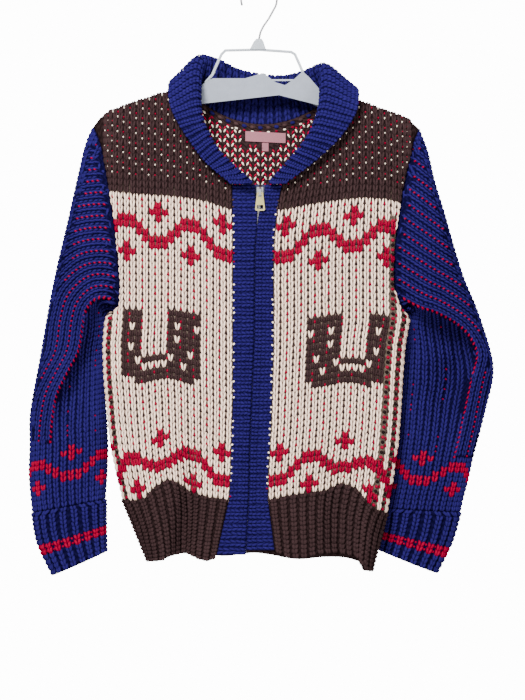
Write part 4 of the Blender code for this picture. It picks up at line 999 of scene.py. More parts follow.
def rib_piece(name, plain, out, ribs, courses, colour, half=2.7, wide=0.8, stripe=(), height=RIB_HEIGHT):
    """The stitches of a rib: a vee for each rib and course on the raised surface. stripe rows are red."""
    share = np.linspace(0, 1, plain.shape[1])
    raised = plain + out * ribbed(share, ribs, height)[None, :, None]
    at = on_grid(raised, out, ribs, courses)
    column, row = cells(ribs, 0, courses)
    tint = np.where(np.isin(row, stripe)[:, None], RED, colour)
    made = vees(at, column + 0.5, row + 0.5, tint, wide=wide, half=half, thick=1.8, rise=0.8)
    furrow = (column > 0) & np.isin(row, stripe)
    if furrow.any():
        made += specks(at, column[furrow] + 0.0, row[furrow] + 0.5, tint[furrow],
                       half=2.0, tall=0.3, thick=1.6)
    return yarn_piece(name, made)


def rib_shell(name, plain, out, ribs, height, outside, inside):
    """A rib's cloth, whose outer surface follows the ribs."""
    relief = ribbed(np.linspace(0, 1, plain.shape[1]), ribs, height)[None, :, None]
    return shell(name, plain + out * relief, plain - out * RIB_WALL, outside, inside, sink=0.3)


def hem_rib(name, top, foot, face, edges):
    """One hem rib between its top and foot lines of x and z, from one end of the panel to the other."""
    down, fine = np.linspace(0, 1, 13)[:, None, None], np.linspace(0, 1, 241)
    x, z = np.moveaxis(lerp(along(top, fine)[None], along(foot, fine)[None], down), -1, 0)
    rows = np.stack([x, body_y(x, z, face), z], -1)
    ribs = round(line_length(rows[6]) / HEM_RIB_PITCH)
    share = np.linspace(0, 1, ribs * RIB_FINE + 1)
    plain = np.array([along(row, even(row, share)) for row in rows])
    out = unit(facing(plain, face) * (1, 1, 0.3))
    for column, side in edges.items():
        plain[:, column, 0] -= SIGN[side] * SEAM_GAP
        plain[:, column, 1] += face * SEAM_GAP / 2
        out[:, column] = (SIGN[side], 0, 0)
    # Painted shade: the rib's cloth outside is darker than the brown yarn, so that the furrows look shaded.
    base = rib_shell(name + "_cloth", plain, out, ribs, RIB_HEIGHT, BROWN * 0.55, BROWN * 0.8)
    courses = round(line_length(rows[:, 120]) / RIB_COURSE)
    stitches = rib_piece(name + "_stitches", plain, out, ribs, courses, BROWN)


for side in SIGN:
    rib, foot = (points_of(rows, "", "xz")[:: int(SIGN[side])] for rows in (RIB_TOP[side], HEM_FOOT[side]))
    hem_rib(f"hem_{side}", rib, foot, -1, {-1: side})
share = np.linspace(0, 1, 41)[:, None]
wave = HEM_BACK_WAVE * np.sin(share * np.pi * HEM_BACK_WAVES) ** 2 + HEM_BACK_LIFT
ends = points_of(HEM_FOOT["right"], "", "xz")[0], points_of(HEM_FOOT["left"], "", "xz")[-1]
foot = lerp(*ends, share) + wave * (0, 1)
hem_rib("hem_back", lerp(*BACK_FOOT, share), foot, 1, {0: "right", -1: "left"})


# -------------------------------------------------------------- sleeves and cuffs
# Blue sleeves knitted down from the armhole, where alternate wales are dropped, with red ends in every
# second gap and a red border above the cuff. Each is a tube sewn up under the arm.

# Sleeve rings: the underarm end, the outer end, the middle's y and the depths.
SLEEVE = {
    "right": table("inner_x inner_z outer_x outer_z mid front back", [
        (-202, -439, -218, -188, 0, 21, 21),
        (-204, -441, -228, -212, 1, 25, 21),
        (-205, -445, -237, -250, 2, 30, 22),
        (-205, -450, -246, -290, 4, 33, 22),
        (-205, -457, -255, -328, 7, 33, 21),
        (-204, -466, -264, -364, 10, 30, 20),
        (-203, -476, -272, -400, 13, 27, 19),
        (-203, -488, -279, -436, 15, 25, 18),
        (-203, -503, -285, -471, 15, 24, 18),
        (-202, -526, -291, -504, 15, 24, 18),
        (-201, -551, -297, -536, 15, 23, 18),
        (-199, -580, -302, -569, 15, 22, 18),
        (-198, -611, -302, -606, 15, 21, 18),
        (-199, -644, -303, -641, 14, 20, 17),
        (-200, -661, -301, -668, 12, 19, 17),
        (-201, -676, -298, -694, 10, 18, 17),
    ]),
    "left": table("inner_x inner_z outer_x outer_z mid front back", [
        (198, -441, 211, -191, 0, 21, 21),
        (200, -443, 222, -221, 1, 26, 21),
        (201, -447, 231, -260, 2, 31, 22),
        (201, -452, 243, -299, 4, 35, 22),
        (199, -459, 256, -344, 7, 36, 21),
        (196, -467, 270, -387, 11, 35, 20),
        (193, -476, 285, -421, 15, 31, 19),
        (190, -486, 295, -448, 18, 26, 18),
        (187, -498, 303, -473, 19, 23, 18),
        (185, -511, 309, -499, 20, 22, 18),
        (184, -530, 308, -523, 20, 22, 18),
        (182, -554, 300, -556, 20, 22, 18),
        (180, -585, 292, -588, 20, 22, 18),
        (177, -618, 283, -621, 20, 21, 18),
        (173, -650, 276, -653, 20, 20, 17),
        (169, -672, 270, -676, 21, 19, 17),
        (166, -689, 266, -694, 21, 18, 17),
    ]),
}
CUFF = {
    "right": table("inner_x inner_z outer_x outer_z mid front back", [
        (-201, -676, -298, -694, 10, 18, 17),
        (-201, -708, -290, -734, 7, 17, 16),
        (-200, -745, -270, -776, 4, 17, 16),
    ]),
    "left": table("inner_x inner_z outer_x outer_z mid front back", [
        (166, -689, 266, -694, 21, 18, 17),
        (163, -715, 254, -734, 22, 17, 16),
        (156, -744, 234, -775, 22, 17, 16),
    ]),
}
# The lines of a sleeve's wales in the front view: the innermost, along the fold under the arm, and one
# well outside the sleeve, whose points stand opposite the first one's. The fold is a step in the depth.
FLOW = {
    "right": table("x z out_x out_z", [
        (-175, -420, -175, -205), (-200, -413, -222, -201), (-213, -416, -309, -224),
        (-224, -428, -402, -306), (-229, -445, -441, -410), (-235, -481, -450, -481),
        (-248, -507, -463, -507), (-263, -537, -477, -537), (-270, -569, -485, -569),
        (-273, -600, -487, -600),
    ]),
    "left": table("x z out_x out_z", [
        (164, -400, 188, -192), (205, -424, 255, -242), (229, -432, 313, -286), (255, -445, 372, -338),
        (272, -459, 417, -396), (283, -477, 450, -455), (285, -491, 459, -494), (279, -513, 454, -516),
        (273, -540, 447, -542), (263, -590, 437, -592), (256, -620, 430, -622),
    ]),
}
FLOW_WALES = {"right": 28, "left": 21}
FLOW_FLECK_FACING = {"right": -0.8, "left": -0.5}  # the front part of a unit normal up to which ends show
LOWER_FLECKS = {"right": 0.35, "left": 0.3}  # the share of ends that show inside the fold
CREASE_DEPTH = {"right": 20.0, "left": 28.0}
CREASE_RIDGE, CREASE_WIDTH = 6.0, 17.0
CREASE_FADES = (0.06, 0.3)  # shares of its line over which it fades at its top and foot
SLEEVE_SQUARE = 0.85  # below 1 a ring's section is squarer than an ellipse
ARMHOLE_BLEND = 3.5  # rings over which the sleeve leaves the armhole's shape


def line_distance(x, z, line_x, line_z):
    """Signed distance in the front view to a line of points that runs down, positive on the left-hand side
    as seen (towards -X), and the share of the line at its nearest point."""
    best, signed, share = np.full(x.shape, np.inf), np.zeros(x.shape), np.zeros(x.shape)
    steps = np.hypot(np.diff(line_x), np.diff(line_z))
    start = np.concatenate([[0], np.cumsum(steps)])
    for i, step in enumerate(steps):
        dx, dz = (line_x[i + 1] - line_x[i]) / step, (line_z[i + 1] - line_z[i]) / step
        t = np.clip((x - line_x[i]) * dx + (z - line_z[i]) * dz, 0, step)
        px, pz = x - line_x[i] - dx * t, z - line_z[i] - dz * t
        far = np.hypot(px, pz)
        closer = far < best
        best = np.where(closer, far, best)
        signed = np.where(closer, np.sign(dx * pz - dz * px) * far, signed)
        share = np.where(closer, (start[i] + t) / start[-1], share)
    return signed, share


def crease(x, z, side):
    """Depth of the sleeve's underarm crease: a low ridge along its line and a trough on the inner side,
    d/w exp(1 - d/w), fading out at both ends."""
    line = FLOW[side]
    d, share = line_distance(x, z, line["x"], line["z"])
    inside = np.maximum(-d * SIGN[side], 0) / CREASE_WIDTH
    trough = CREASE_DEPTH[side] * inside * np.exp(1 - inside)
    ridge = CREASE_RIDGE * np.exp(-((d / CREASE_WIDTH) ** 2))
    top, foot = CREASE_FADES
    return (trough - ridge) * smoothstep(share / top) * smoothstep((1 - share) / foot)


def sleeve_rings(rows, steps, around, side, armhole, rings):
    """Rings of a sleeve from its table: flattened loops from the inner end round by the front to the
    outer end and back behind. armhole, where given, is the armhole's row and face for each point, and
    the first rings take its shape."""
    at = np.linspace(0, 1, steps + 1)
    inner, outer = (smooth(points_of(rows, edge, "xz"), at)[:, None] for edge in ("inner_", "outer_"))
    mid, ahead, behind = (curve(rows[name], at)[:, None] for name in ("mid", "front", "back"))
    turn = np.linspace(0, 2 * np.pi, around + 1)[None]
    rise = (1 - np.cos(turn)) / 2
    bulge = np.sign(np.sin(turn)) * np.abs(np.sin(turn)) ** SLEEVE_SQUARE
    bulge[:, [0, -1]] = 0
    flat = inner + (outer - inner) * rise[..., None]
    points = np.stack([flat[..., 0], mid - np.where(turn <= np.pi, ahead, behind) * bulge, flat[..., 1]], -1)
    ring = at * rings
    if armhole is not None:
        rows_at, face = armhole
        seam = edge_points(side, rows_at, "side")
        first = np.stack([seam[:, 0], face * edge_depth(seam[:, 1], side), seam[:, 1]], -1)
        blend = np.maximum(1 - ring / ARMHOLE_BLEND, 0)[:, None, None] ** 1.5
        points += (first - points[0]) * blend
        grown = smoothstep(ring / 1.5)[:, None] * np.clip(np.sin(turn), 0, 1) ** 0.5
        points[..., 1] += crease(points[..., 0], points[..., 2], side) * grown
    return points


SLEEVE_RINGS, SLEEVE_FINE = 17, 96
SLEEVE_WALES, SLEEVE_COURSE, SLEEVE_ROWS, SLEEVE_LONG = 32, 6.6, 88, 0.42
BORDER_FOOT = -13  # the row, down from the cuff, where the border's chart starts
BORDER_COLUMN = {"right": 7, "left": 6}  # the wale under which the border's first bottom step starts
CUFF_RIB_PITCH, CUFF_COURSE, CUFF_STRIPE, CUFF_FINE = 11.5, 5.8, (7, 8), 12
PIT_FILL, PIT_Z, PIT_TALL = 6.0, -448.0, 26.0  # how far, where and how high it is drawn in at the underarm
FLOW_CELL = 3.0  # of the grid of depths
FLOW_NEAR = 5.2  # how near a stitch of the flow replaces one that runs straight down
FLOW_FULL, FLOW_FACING = 0.93, -0.45  # how full the grid is, and how far it faces forward, under the flow
FLOW_REACH = ((0, -1.1), (0, 0), (0, 1.1), (-0.5, 0), (0.5, 0))  # wales and courses from a stitch's middle


def front_depth(points):
    """depth(x, z) of a sleeve's front face, and how much of it is there: the foremost sample in each cell
    of a grid, averaged with the cells beside it."""
    lines, halfway = np.arange(0, len(points) - 1, 0.1), np.arange(0, points.shape[1] // 2, 0.1)
    p = read(points, *np.meshgrid(lines, halfway, indexing="ij")).reshape(-1, 3)
    corner = p.min(axis=0) - 3 * FLOW_CELL
    i, j = ((p - corner) / FLOW_CELL).astype(int)[:, [0, 2]].T
    depth = np.full((i.max() + 4, j.max() + 4), np.inf)
    np.minimum.at(depth, (i, j), p[:, 1])
    full = np.isfinite(depth).astype(float)
    sums, weights = np.where(full > 0, depth, 0), full
    for axis in (0, 1):
        sums, weights = (sum(np.roll(grid, step, axis) for step in (-1, 0, 1)) for grid in (sums, weights))
    depth, full = np.where(weights > 0, sums / np.maximum(weights, 1), p[:, 1].mean()), weights / 9

    def look(grid, x, z):
        i, j = (x - corner[0]) / FLOW_CELL - 0.5, (z - corner[2]) / FLOW_CELL - 0.5
        return read(grid[..., None], i, j)[..., 0]

    return lambda x, z: (look(depth, x, z), look(full, x, z))


def tube_normals(points):
    """Outward normals of rings of points, level along the seam under the arm."""
    n = normals(points)
    n *= np.sign((n * (points - points.mean(axis=1, keepdims=True))).sum())
    n[:, 0] = n[:, -1] = unit((points[:, 0] - points[:, points.shape[1] // 2]) * (1, 0, 1))
    return n


def on_sleeve(points, out, wales, measured=None):
    """at(u, v) for a sleeve: u of wales round from the underarm seam and v courses down from the cuff's
    top, so that v is negative, measured along each wale's own line, or that of the points measured; and
    length(u), that line's length in courses."""
    up = points[::-1]
    run = run_along((points if measured is None else measured)[::-1], 0)
    steps = np.arange(0, SLEEVE_ROWS * SLEEVE_COURSE, SLEEVE_COURSE / 2)
    ring = np.stack([np.interp(steps, line, np.arange(len(line))) for line in run.T], 1)
    around = points.shape[1] - 1
    column = np.broadcast_to(np.arange(points.shape[1]), ring.shape)
    even_points, even_out = read(up, ring, column), read(out[::-1], ring, column)

    def length(u):
        return np.interp(u / wales * around, np.arange(around + 1), run[-1]) / SLEEVE_COURSE

    def at(u, v):
        u, v = np.broadcast_arrays(u, v)
        i, j = np.maximum(np.minimum(-v, length(u)) * 2, 0), u / wales * around
        n = unit(read(even_out, i, j))
        return read(even_points, i, j) - n * BASE, n

    return at, length


def sleeve_grid(side):
    """A sleeve's outer points from the armhole down, their normals, and its lining's points."""
    around = 2 * ARMHOLE_SAMPLES
    rows_at = np.concatenate([ARMHOLE_AT[::-1], ARMHOLE_AT[1:]])
    face = np.where(np.arange(around + 1) <= around / 2, -1, 1)
    plain = sleeve_rings(SLEEVE[side], SLEEVE_FINE, around, side, (rows_at, face), SLEEVE_RINGS)
    inner = (1 + np.cos(np.linspace(0, 2 * np.pi, around + 1))) / 2
    plain[..., 0] -= SIGN[side] * PIT_FILL * inner**3 * np.exp(-(((plain[..., 2] - PIT_Z) / PIT_TALL) ** 2))
    out = tube_normals(plain)
    lining = plain - out * KNIT_WALL
    ahead, behind = (seam_rim(side, rows_at, which) for which in (-1, 1))
    lining[0] = plain[0] - np.where((face < 0)[:, None], ahead, behind) * KNIT_WALL
    for grid in (plain, lining):
        grid[:, 0, 1], grid[:, -1, 1] = plain[:, 0, 1] - SEAM_GAP / 2, plain[:, -1, 1] + SEAM_GAP / 2
    return plain, out, lining


def flow_stitches(side, plain):
    """Stitches on the sleeve's front along the lines of FLOW, with red ends up every second gap and
    larger ones along the fold, and the x and z of each stitch."""
    lines, wales = FLOW[side], FLOW_WALES[side]
    down, across = np.linspace(0, 1, 161), np.linspace(0, 1, 61)[None]
    fold, aside = (smooth(points_of(lines, name, "xz"), down)[:, None] for name in ("", "out_"))
    x, z = np.moveaxis(lerp(fold, aside, across[..., None]), -1, 0)
    face_depth = front_depth(plain)
    flow = np.stack([x, face_depth(x, z)[0], z], -1)
    out = normals(flow)
    at, length = on_sleeve(flow, out * -np.sign(out[..., 1:2]), wales, flow * (1, 0, 1))
    column, row = cells(wales, -SLEEVE_ROWS + 2, 0)
    u, v = column + 0.5, row + 0.5
    p, n = at(u, v)
    ends = [at(u + aside, v + end)[0] for aside, end in FLOW_REACH]
    there = np.min([face_depth(end[:, 0], end[:, 2])[1] for end in ends], axis=0)
    keep = (-v <= length(u)) & (there > FLOW_FULL) & (n[:, 1] < FLOW_FACING)
    made = vees(at, u[keep], v[keep], BLUE[None], half=1.75, thick=1.5, rise=0.7)
    flecks = keep & (column % 2 == 0) & (n[:, 1] < FLOW_FLECK_FACING[side])
    first = column == 0
    for some, half in ((flecks & first, 3.3), (flecks & ~first, 1.4)):
        made += specks(at, column[some] + 0.06, row[some] + 1.0, RED[None] * 1.1,
                       half=half, tall=0.06, thick=1.3, rise=1.3, lean=0.15)
    return made, p[keep][:, [0, 2]]


def round_stitches(side, plain, out, laid):
    """Stitches straight down the sleeve all round, but for those that the flow's, laid over them, replace,
    with the red border above the cuff and a few red ends inside the fold."""
    at, length = on_sleeve(plain, out, SLEEVE_WALES)
    column, row = cells(SLEEVE_WALES, -SLEEVE_ROWS + 2, 0)
    u, v = column + 0.5, row + 0.5
    p, n = at(u, v)
    gap = ((p[:, None, [0, 2]] - laid[None]) ** 2).sum(-1).min(axis=1)
    keep = (-v <= length(u) + 0.3) & ~((n[:, 1] < 0.1) & (gap < FLOW_NEAR**2))
    picked = border_yarns(0 * column, column + 1 - BORDER_COLUMN[side], row, BORDER_FOOT)
    tint = np.where((picked == 1)[:, None], RED, BLUE)
    made = vees(at, u[keep], v[keep], tint[keep], half=2.0, thick=1.4, rise=0.7)
    flecks = keep & (column % 4 == 0) & (row <= BORDER_FOOT) & (n[:, 1] < -0.5)
    flecks &= chance.random(len(row)) < LOWER_FLECKS[side]
    return made + specks(at, column[flecks] + 0.0, row[flecks] + 1.0, RED[None],
                         half=1.1, tall=0.2, thick=1.1, rise=1.0, lean=0.06)


def sew_cuff(side, plain):
    """A cuff, which takes the shape of the sleeve's last ring."""
    ribs = round(line_length(plain[-1]) / CUFF_RIB_PITCH)
    share = np.linspace(0, 1, ribs * RIB_FINE + 1)
    cuff = sleeve_rings(CUFF[side], CUFF_FINE, len(share) - 1, side, None, CUFF_FINE)
    axis = unit(plain[-1].mean(axis=0) - plain[-2].mean(axis=0))
    cuff[0] = along(plain[-1], even(plain[-1], share)) + axis * SEAM_GAP
    out = tube_normals(cuff)
    # Painted shade: the cuff's cloth outside is far darker than the blue yarn, so that the gaps between
    # stitches look shaded.
    base = rib_shell(f"cuff_{side}_cloth", cuff, out, ribs, RIB_HEIGHT, BLUE * 0.3, BLUE * 0.7)
    courses = round(line_length(cuff[:, len(share) // 4]) / CUFF_COURSE)
    stitches = rib_piece(f"cuff_{side}_stitches", cuff, out, ribs, courses, BLUE, half=2.3,
                         stripe=CUFF_STRIPE)


for side in SIGN:
    plain, out, lining = sleeve_grid(side)
    # Painted shade: the sleeve's cloth outside is far darker than the blue yarn, so that the gaps between
    # stitches look shaded.
    base = shell(f"sleeve_{side}_cloth", plain, lining, BLUE * 0.3, lerp(BLUE, RED, 0.12))
    made, laid = flow_stitches(side, plain)
    stitches = yarn_piece(f"sleeve_{side}_stitches", made + round_stitches(side, plain, out, laid))
    sew_cuff(side, plain)


# -------------------------------------------------------------------------- collar
# A blue shawl collar, sewn round the neck, with ribs that run from the seam up the stand, over the roll
# and down to the free edge.

# Collar sections from the right front's zip end round the back neck to the left's: the crest of the
# roll, the free edge and the roll's radius. The first and last NECK_ROW + 1 rows stand on the fronts'
# neckline rows, the NAPE_ROWS between them on the back neck.
NECK_ROW = 5
NAPE_ROWS = 6
COLLAR = table("roll_x roll_y roll_z edge_x edge_y edge_z radius", [
    (-7, -38, -265.8, -37, -41, -265.8, 7.0),
    (-49, -40, -226, -68, -42, -240, 7.5),
    (-65, -38, -200, -88, -40, -214, 8.0),
    (-74, -34, -175, -107, -37, -184, 8.5),
    (-76, -23, -140, -117, -27, -158, 9.5),
    (-75, -3, -101, -116, -5, -130, 9.5),
    (-61, 18, -95, -88, 41, -143, 9.5),
    (-29, 29, -109, -48, 47, -161, 8.5),
    (4, 32, -116, 4, 50, -167, 8.5),
    (32, 30, -118, 50, 48, -165, 8.5),
    (58, 21, -113, 96, 42, -152, 9.5),
    (80, -2, -109, 127, -4, -139, 9.5),
    (80, -24, -140, 130, -27, -157, 9.5),
    (76, -34, -170, 124, -37, -178, 9.0),
    (64, -39, -202, 103, -41, -209, 8.5),
    (43, -40, -230, 68, -42, -241, 7.5),
    (12, -38, -265.8, 34, -41, -265.8, 7.0),
])
COLLAR_END_Z = -266.1
COLLAR_TURNS = (90, 30, -30, -90)  # degrees round the roll
NECK_TURN = 10.0  # depth over which the neck edge's wall turns upright from the shoulder


def neck_edge(row):
    """The middle of the garment's own neck edge at fractional rows of the collar's table, and the way
    into the neck opening there: the edge's direction crossed with the wall's outward one."""
    right, left = (edge_points(side, np.clip(at, 0, NECK_ROW), "inner") for side, at in (
        ("right", NECK_ROW - row), ("left", row - NECK_ROW - NAPE_ROWS),
    ))
    over = np.clip((row - NECK_ROW) / NAPE_ROWS, 0, 1)
    nape_x = NECK_POINT["right"] + (NECK_POINT["left"] - NECK_POINT["right"]) * over
    nape = np.stack([nape_x, nape_z(nape_x)], -1)
    at_right, at_left = (row <= NECK_ROW)[:, None], (row >= NECK_ROW + NAPE_ROWS)[:, None]
    flat = np.where(at_right, right, np.where(at_left, left, nape))
    x, z = flat.T
    face = np.where((at_right | at_left)[:, 0], -1, 1)
    depth = np.abs(np.where(face < 0, body_y(x, z, -1), body_y(x, z, 1)))
    upright = np.minimum(depth / NECK_TURN, 1)
    edge = np.stack([x, face * (depth - upright * KNIT_WALL / 2), z], -1)
    out = np.stack([0 * x, face * upright, 1 - upright], -1)
    return edge, unit(np.cross(np.gradient(edge, axis=0), out))


def collar_sections(seam):
    """For each row of the collar's table, points from the neck seam up the stand, round the roll as a
    half circle, and down to the free edge."""
    crest, edge = points_of(COLLAR, "roll_", "xyz"), points_of(COLLAR, "edge_", "xyz")
    up = unit(crest - (seam + edge) / 2)
    across = seam - edge
    back = unit(across - up * (across * up).sum(-1, keepdims=True))
    radius = COLLAR["radius"][:, None]
    centre = crest - up * radius
    turns = np.radians(COLLAR_TURNS)
    roll = [centre + radius * (math.cos(t) * up + math.sin(t) * back) for t in turns]
    return np.stack([*roll, (roll[-1] + edge) / 2, edge])


COLLAR_RIB_PITCH, COLLAR_RIB_RISE, COLLAR_FINE, COLLAR_COURSE = 10.4, 0.8, 30, 5.6
SEAM_INSIDE = 1.5  # how far outside the neck's edge the collar's first course lies

collar_rows = len(COLLAR["radius"]) - 1
sections = collar_sections(neck_edge(np.arange(collar_rows + 1.0))[0])
crest = smooth(points_of(COLLAR, "roll_", "xyz"), np.linspace(0, 1, 401))
ribs = round(line_length(crest) / COLLAR_RIB_PITCH)
at_row = even(crest, np.linspace(0, 1, ribs * RIB_FINE + 1))
seam, into_neck = neck_edge(at_row * collar_rows)
whole = np.stack([seam - into_neck * SEAM_INSIDE, *(smooth(row, at_row) for row in sections)])
down = np.linspace(0, 1, COLLAR_FINE + 1)
whole = evened(np.stack([smooth(column, down) for column in whole.transpose(1, 0, 2)], 1), COLLAR_FINE + 1)
whole[:, [0, -1], 2] = COLLAR_END_Z
out = normals(whole)
out *= np.sign(out[COLLAR_FINE // 3, len(at_row) // 2, 2])
out[:, [0, -1], 2] = 0
out = unit(out)
# Painted shade: the collar's cloth outside is darker than the blue yarn, so that the gaps between stitches
# look shaded.
base = rib_shell("collar_cloth", whole, out, ribs, COLLAR_RIB_RISE, BLUE * 0.5, BLUE * 0.7)
deep = np.mean([line_length(line) for line in whole.transpose(1, 0, 2)])
long = np.mean([line_length(row) for row in whole])
stitches = rib_piece("collar_stitches", whole, out, ribs, round(deep / COLLAR_COURSE), BLUE, half=2.5,
                     wide=0.95, height=COLLAR_RIB_RISE)


# --------------------------------------------------------------------------- bands
# The blue bands beside the zip are knitted sideways: two wales of stitches that point at the zip, then a
# furrow, with the edge beside the zip rolled. Whipped ends of yarn show along each seam to the front.

# The zip line and how far each band's inner edge stands from it.
ZIP = table("z x right_gap left_gap", [
    (-258, 2, 8, 7),
    (-266, 2, 7, 6.5),
    (-280, 1.5, 6.5, 5.5),
    (-292, 0.5, 2.5, 3),
    (-304, -1, 1, 1),
    (-351, -5, 1, 1),
    (-468, -6, 1, 1),
    (-608, -12, 1, 1),
    (-668, -13, 1, 1),
    (-723, -16, 1, 1),
    (-744, -17, 1, 1),
])
BAND_TOP = -266.5
BAND_FOOT = {"right": -746.0, "left": -740.0}
BAND_FORWARD = 0.6  # how far a band lies in front of the panel it joins
BAND_LAP = 0.5  # how far it lies over the panel's edge
BAND_RIDGE, BAND_RIDGE_AT, BAND_RIDGE_WIDE = 2.4, 0.8, 0.16  # the roll by the zip, and its place and width
BAND_RIDGE_FROM, BAND_RIDGE_GROWS = 30.0, 50.0  # where below the top the roll starts, and reaches its height
BAND_RIBS, BAND_WALES_A_RIB, BAND_COURSES, BAND_FINE = 24, 2, 5, 10
BAND_BLOCK_RISE = 0.35  # of the wales between two furrows
BAND_CLOSED = 0.05  # half the gap between the bands' edges below the slider
SLIDER_Z = -276.0
SHUT_UNDER, SHUT_OVER = 26, 20  # where under the slider the bands start to shut, and over what height
SEAM_STEP, SEAM_END = 9.9, 72  # between the seam's ends of yarn, and from the last one to the band's foot
SEAM_SHOWN = 0.88  # the share of them that shows
SEAM_RED = ((6, 8.2), (41, 43.2))  # the front's courses beside which they are red


def zip_at(z, column):
    """A column of the zip's table at a height."""
    return by_height(z, ZIP["z"], ZIP[column])


def seam_ends(side, at, long, seam):
    """Whipped ends of yarn down a band's seam, in the colour of the front beside them."""
    step = np.arange(2, (long - SEAM_END) / SEAM_STEP)
    height = BAND_TOP - step * SEAM_STEP
    yoke_z = np.interp(by_height(height, *seam), YOKE_EDGE[side]["x"], YOKE_EDGE[side]["z"])
    course = (yoke_z - height) / COURSE
    red = np.any([(course > first) & (course < last) for first, last in SEAM_RED], axis=0)
    tint = np.where((course < 0)[:, None], BROWN * 1.5, np.where(red[:, None], RED, WHITE))
    shown = chance.random(len(step)) < SEAM_SHOWN
    step, tint = (step + chance.uniform(-0.3, 0.3, len(step)))[shown], tint[shown]
    across = 0.12 + chance.uniform(-0.06, 0.12, len(step))
    return specks(at, across, step * SEAM_STEP / long * BAND_RIBS * BAND_WALES_A_RIB, tint,
                  half=chance.uniform(1.2, 2.1, len(step)), tall=0.14, thick=1.6, rise=1.3, lean=0.17)


for side, sign in SIGN.items():
    foot, end = HEM_FOOT[side], -1 if side == "right" else 0
    seam = [np.append(EDGES[side]["inner_" + axis][: HEM_TOP_ROW + 1], foot[axis][end]) for axis in "zx"]
    long = BAND_TOP - BAND_FOOT[side]
    z = np.linspace(BAND_TOP, BAND_FOOT[side], BAND_RIBS * BAND_FINE + 1)[:, None]
    shut = smoothstep((SLIDER_Z - SHUT_UNDER - z) / SHUT_OVER)
    inner = zip_at(z, "x") + sign * lerp(zip_at(z, f"{side}_gap"), BAND_CLOSED, shut)
    share = np.linspace(0, 1, 17)[None]
    x = lerp(by_height(z, *seam) - sign * BAND_LAP, inner, share)
    z = z + 0 * x
    y = body_y(x, z, -1) - BAND_FORWARD
    bump = np.exp(-(((share - BAND_RIDGE_AT) / BAND_RIDGE_WIDE) ** 2))
    roll = BAND_RIDGE * bump * smoothstep((BAND_TOP - BAND_RIDGE_FROM - z) / BAND_RIDGE_GROWS)
    block = np.sin(np.pi * np.linspace(0, BAND_RIBS, len(z)))[:, None] ** 2
    relief = BAND_BLOCK_RISE * np.minimum(block * 1.8, 1) * np.sin(np.pi * share) ** 0.4
    shown = np.stack([x, y - roll - relief, z], -1)
    lining = np.stack([x, y + RIB_WALL, z], -1)
    # Painted shade: the band's cloth outside is darker than the blue yarn, so that the gaps between stitches
    # look shaded.
    base = shell(f"band_{side}_cloth", shown, lining, BLUE * 0.55, BLUE * 0.7, sink=0.3)
    wales = BAND_RIBS * BAND_WALES_A_RIB
    at = on_grid(shown, facing(shown, -1), BAND_COURSES, wales)
    column, row = cells(BAND_COURSES, 0, wales)
    furrowed = np.where(row % 2 == 0, 0.01, -0.01)
    made = vees(at, column + 0.5, row + 0.5 + furrowed, BLUE[None], wide=1.1, half=2.1, thick=1.5, rise=0.6,
                sideways=True)
    stitches = yarn_piece(f"band_{side}_stitches", made + seam_ends(side, at, long, seam))


# ----------------------------------------------------------------- zip, labels, hanger
# Woven zip tapes with a row of cast teeth on each edge, a steel slider and a pale gold pull tab.

TOOTH_PITCH, TOOTH = 2.6, (2.6, 1.6, 1.5)  # across, through and along the zip
TOOTH_ASIDE, TOOTH_BEHIND = 1.1, 5.3  # from the zip's line, and from the bands' front
SLIDER_HALF = 7.5


def painted(name, colour, roughness, metallic=0.0, scale=600.0, depth=0.00012, spread=0.12, **more):
    """A finish of one colour, varied and roughened by fine noise in object space."""
    made, shader, w = finish(name, Base_Color=(*colour, 1), Roughness=roughness, Metallic=metallic, **more)
    place = w.node("TexCoord", out=3)
    grain = w.node("TexNoise", Vector=place, Scale=scale, Detail=3.0)
    wear = w.node("TexNoise", Vector=place, Scale=scale / 12, Detail=2.0)
    tone = grain * spread + wear * spread + (1 - spread)
    lit = w.node("VectorMath", {"operation": "SCALE"}, _0=colour, Scale=tone)
    feed(shader, Base_Color=lit, Roughness=wear * 0.15 + grain * 0.10 + (roughness - 0.12),
         Normal=w.node("Bump", Strength=0.6, Distance=depth, Height=grain))
    return made


def woven(name, colour, across, up):
    """Cloth of plain weave: two sets of threads, across and up to the millimetre, seen over and under."""
    made, shader, w = finish(name, Roughness=0.8, Sheen_Weight=0.3, Specular_IOR_Level=0.3)
    place = w.node("TexCoord", out=3)
    x, _, z = (place.node("SeparateXYZ", out=i, Vector=place) for i in range(3))
    weft, warp = (x * (across * 2000 * math.pi)).sine(), (z * (up * 2000 * math.pi)).sine()
    grain = w.node("TexNoise", Vector=place, Scale=800.0, Detail=2.0)
    height = weft * warp * 0.5 + 0.5
    # Painted shade: the colour falls where a thread passes under another, with the weave's height.
    lit = w.node("VectorMath", {"operation": "SCALE"}, _0=colour, Scale=height * 0.25 + grain * 0.3 + 0.7)
    feed(shader, Base_Color=lit, Normal=w.node("Bump", Strength=0.5, Distance=0.0002, Height=height))
    return made


def dress(node, material):
    """Gives a CAD node's object this material in every slot."""
    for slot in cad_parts[node].material_slots:
        slot.material = material


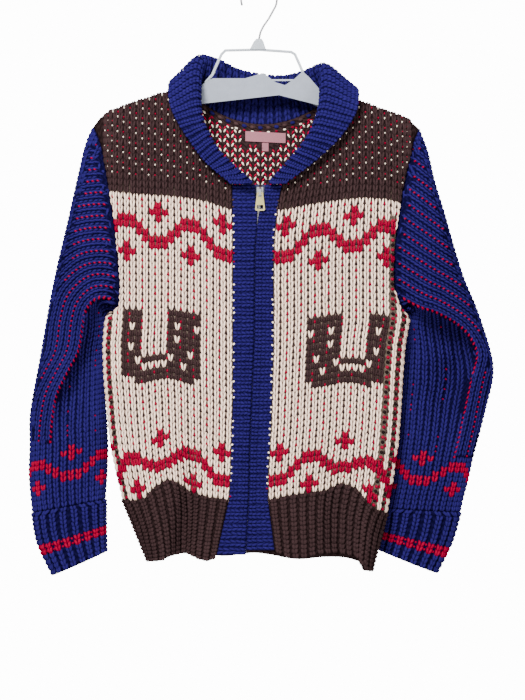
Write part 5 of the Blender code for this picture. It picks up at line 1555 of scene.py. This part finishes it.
steel = painted("polished steel", (0.60, 0.61, 0.63), 0.27, 1.0, depth=0.00003)
gold = painted("pale gold", (0.94, 0.80, 0.36), 0.25, 1.0, depth=0.00003)
tape = woven("zip tape weave", (0.006, 0.005, 0.035), 0.7, 0.7)
for side in SIGN:
    dress(f"zip_tape_{side}", tape)
dress("zip_slider", steel)
dress("zip_pull", gold)

cube = np.array([(i, j, k) for i in (-0.5, 0.5) for j in (-0.5, 0.5) for k in (-0.5, 0.5)])
CUBE_QUADS = np.array([(0, 1, 3, 2), (4, 6, 7, 5), (0, 4, 5, 1), (2, 3, 7, 6), (0, 2, 6, 4), (1, 5, 7, 3)])
for side, sign in SIGN.items():
    z = np.arange(BAND_TOP - 2, BAND_FOOT[side] + 4, -TOOTH_PITCH) - (TOOTH_PITCH / 2 if sign > 0 else 0)
    x = zip_at(z, "x") + sign * TOOTH_ASIDE
    y = body_y(x, z, -1) - BAND_FORWARD + TOOTH_BEHIND
    middle = np.stack([x, y, z], -1)[np.abs(z - SLIDER_Z) > SLIDER_HALF]
    points = middle[:, None] + cube * TOOTH
    quads = CUBE_QUADS[None] + np.arange(len(middle))[:, None, None] * 8
    teeth = quad_mesh(f"zip_teeth_{side}", points, quads.reshape(-1, 4), steel, smooth=False)
    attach(teeth, "garment")

# A bare woven neck label and size tab, sewn inside the back neck.
label = woven("label weave", (0.21, 0.075, 0.095), 1.4, 1.4)
for node in ("neck_label", "size_tab"):
    dress(node, label)

# The hanger: a steel wire hook in a clear moulding, whose arms wear a thin grey sleeve.
dress("hanger_hook", painted("hook wire", (0.16, 0.16, 0.17), 0.3, 1.0, depth=0.00003))
clear, shader, w = finish("clear moulding", Base_Color=(0.52, 0.56, 0.61, 1), Roughness=0.12,
                          Transmission_Weight=0.5, IOR=1.49)
haze = w.node("TexNoise", Vector=w.node("TexCoord", out=3), Scale=120.0, Detail=2.0)
feed(shader, Roughness=haze * 0.12 + 0.06)
dress("hanger_frame", clear)
cover = painted("grey sleeve", (0.145, 0.16, 0.195), 0.62, scale=1400.0, depth=0.0001, spread=0.3,
                Sheen_Weight=0.1)
for node in ("hanger_arms", "hanger_cover"):
    dress(node, cover)
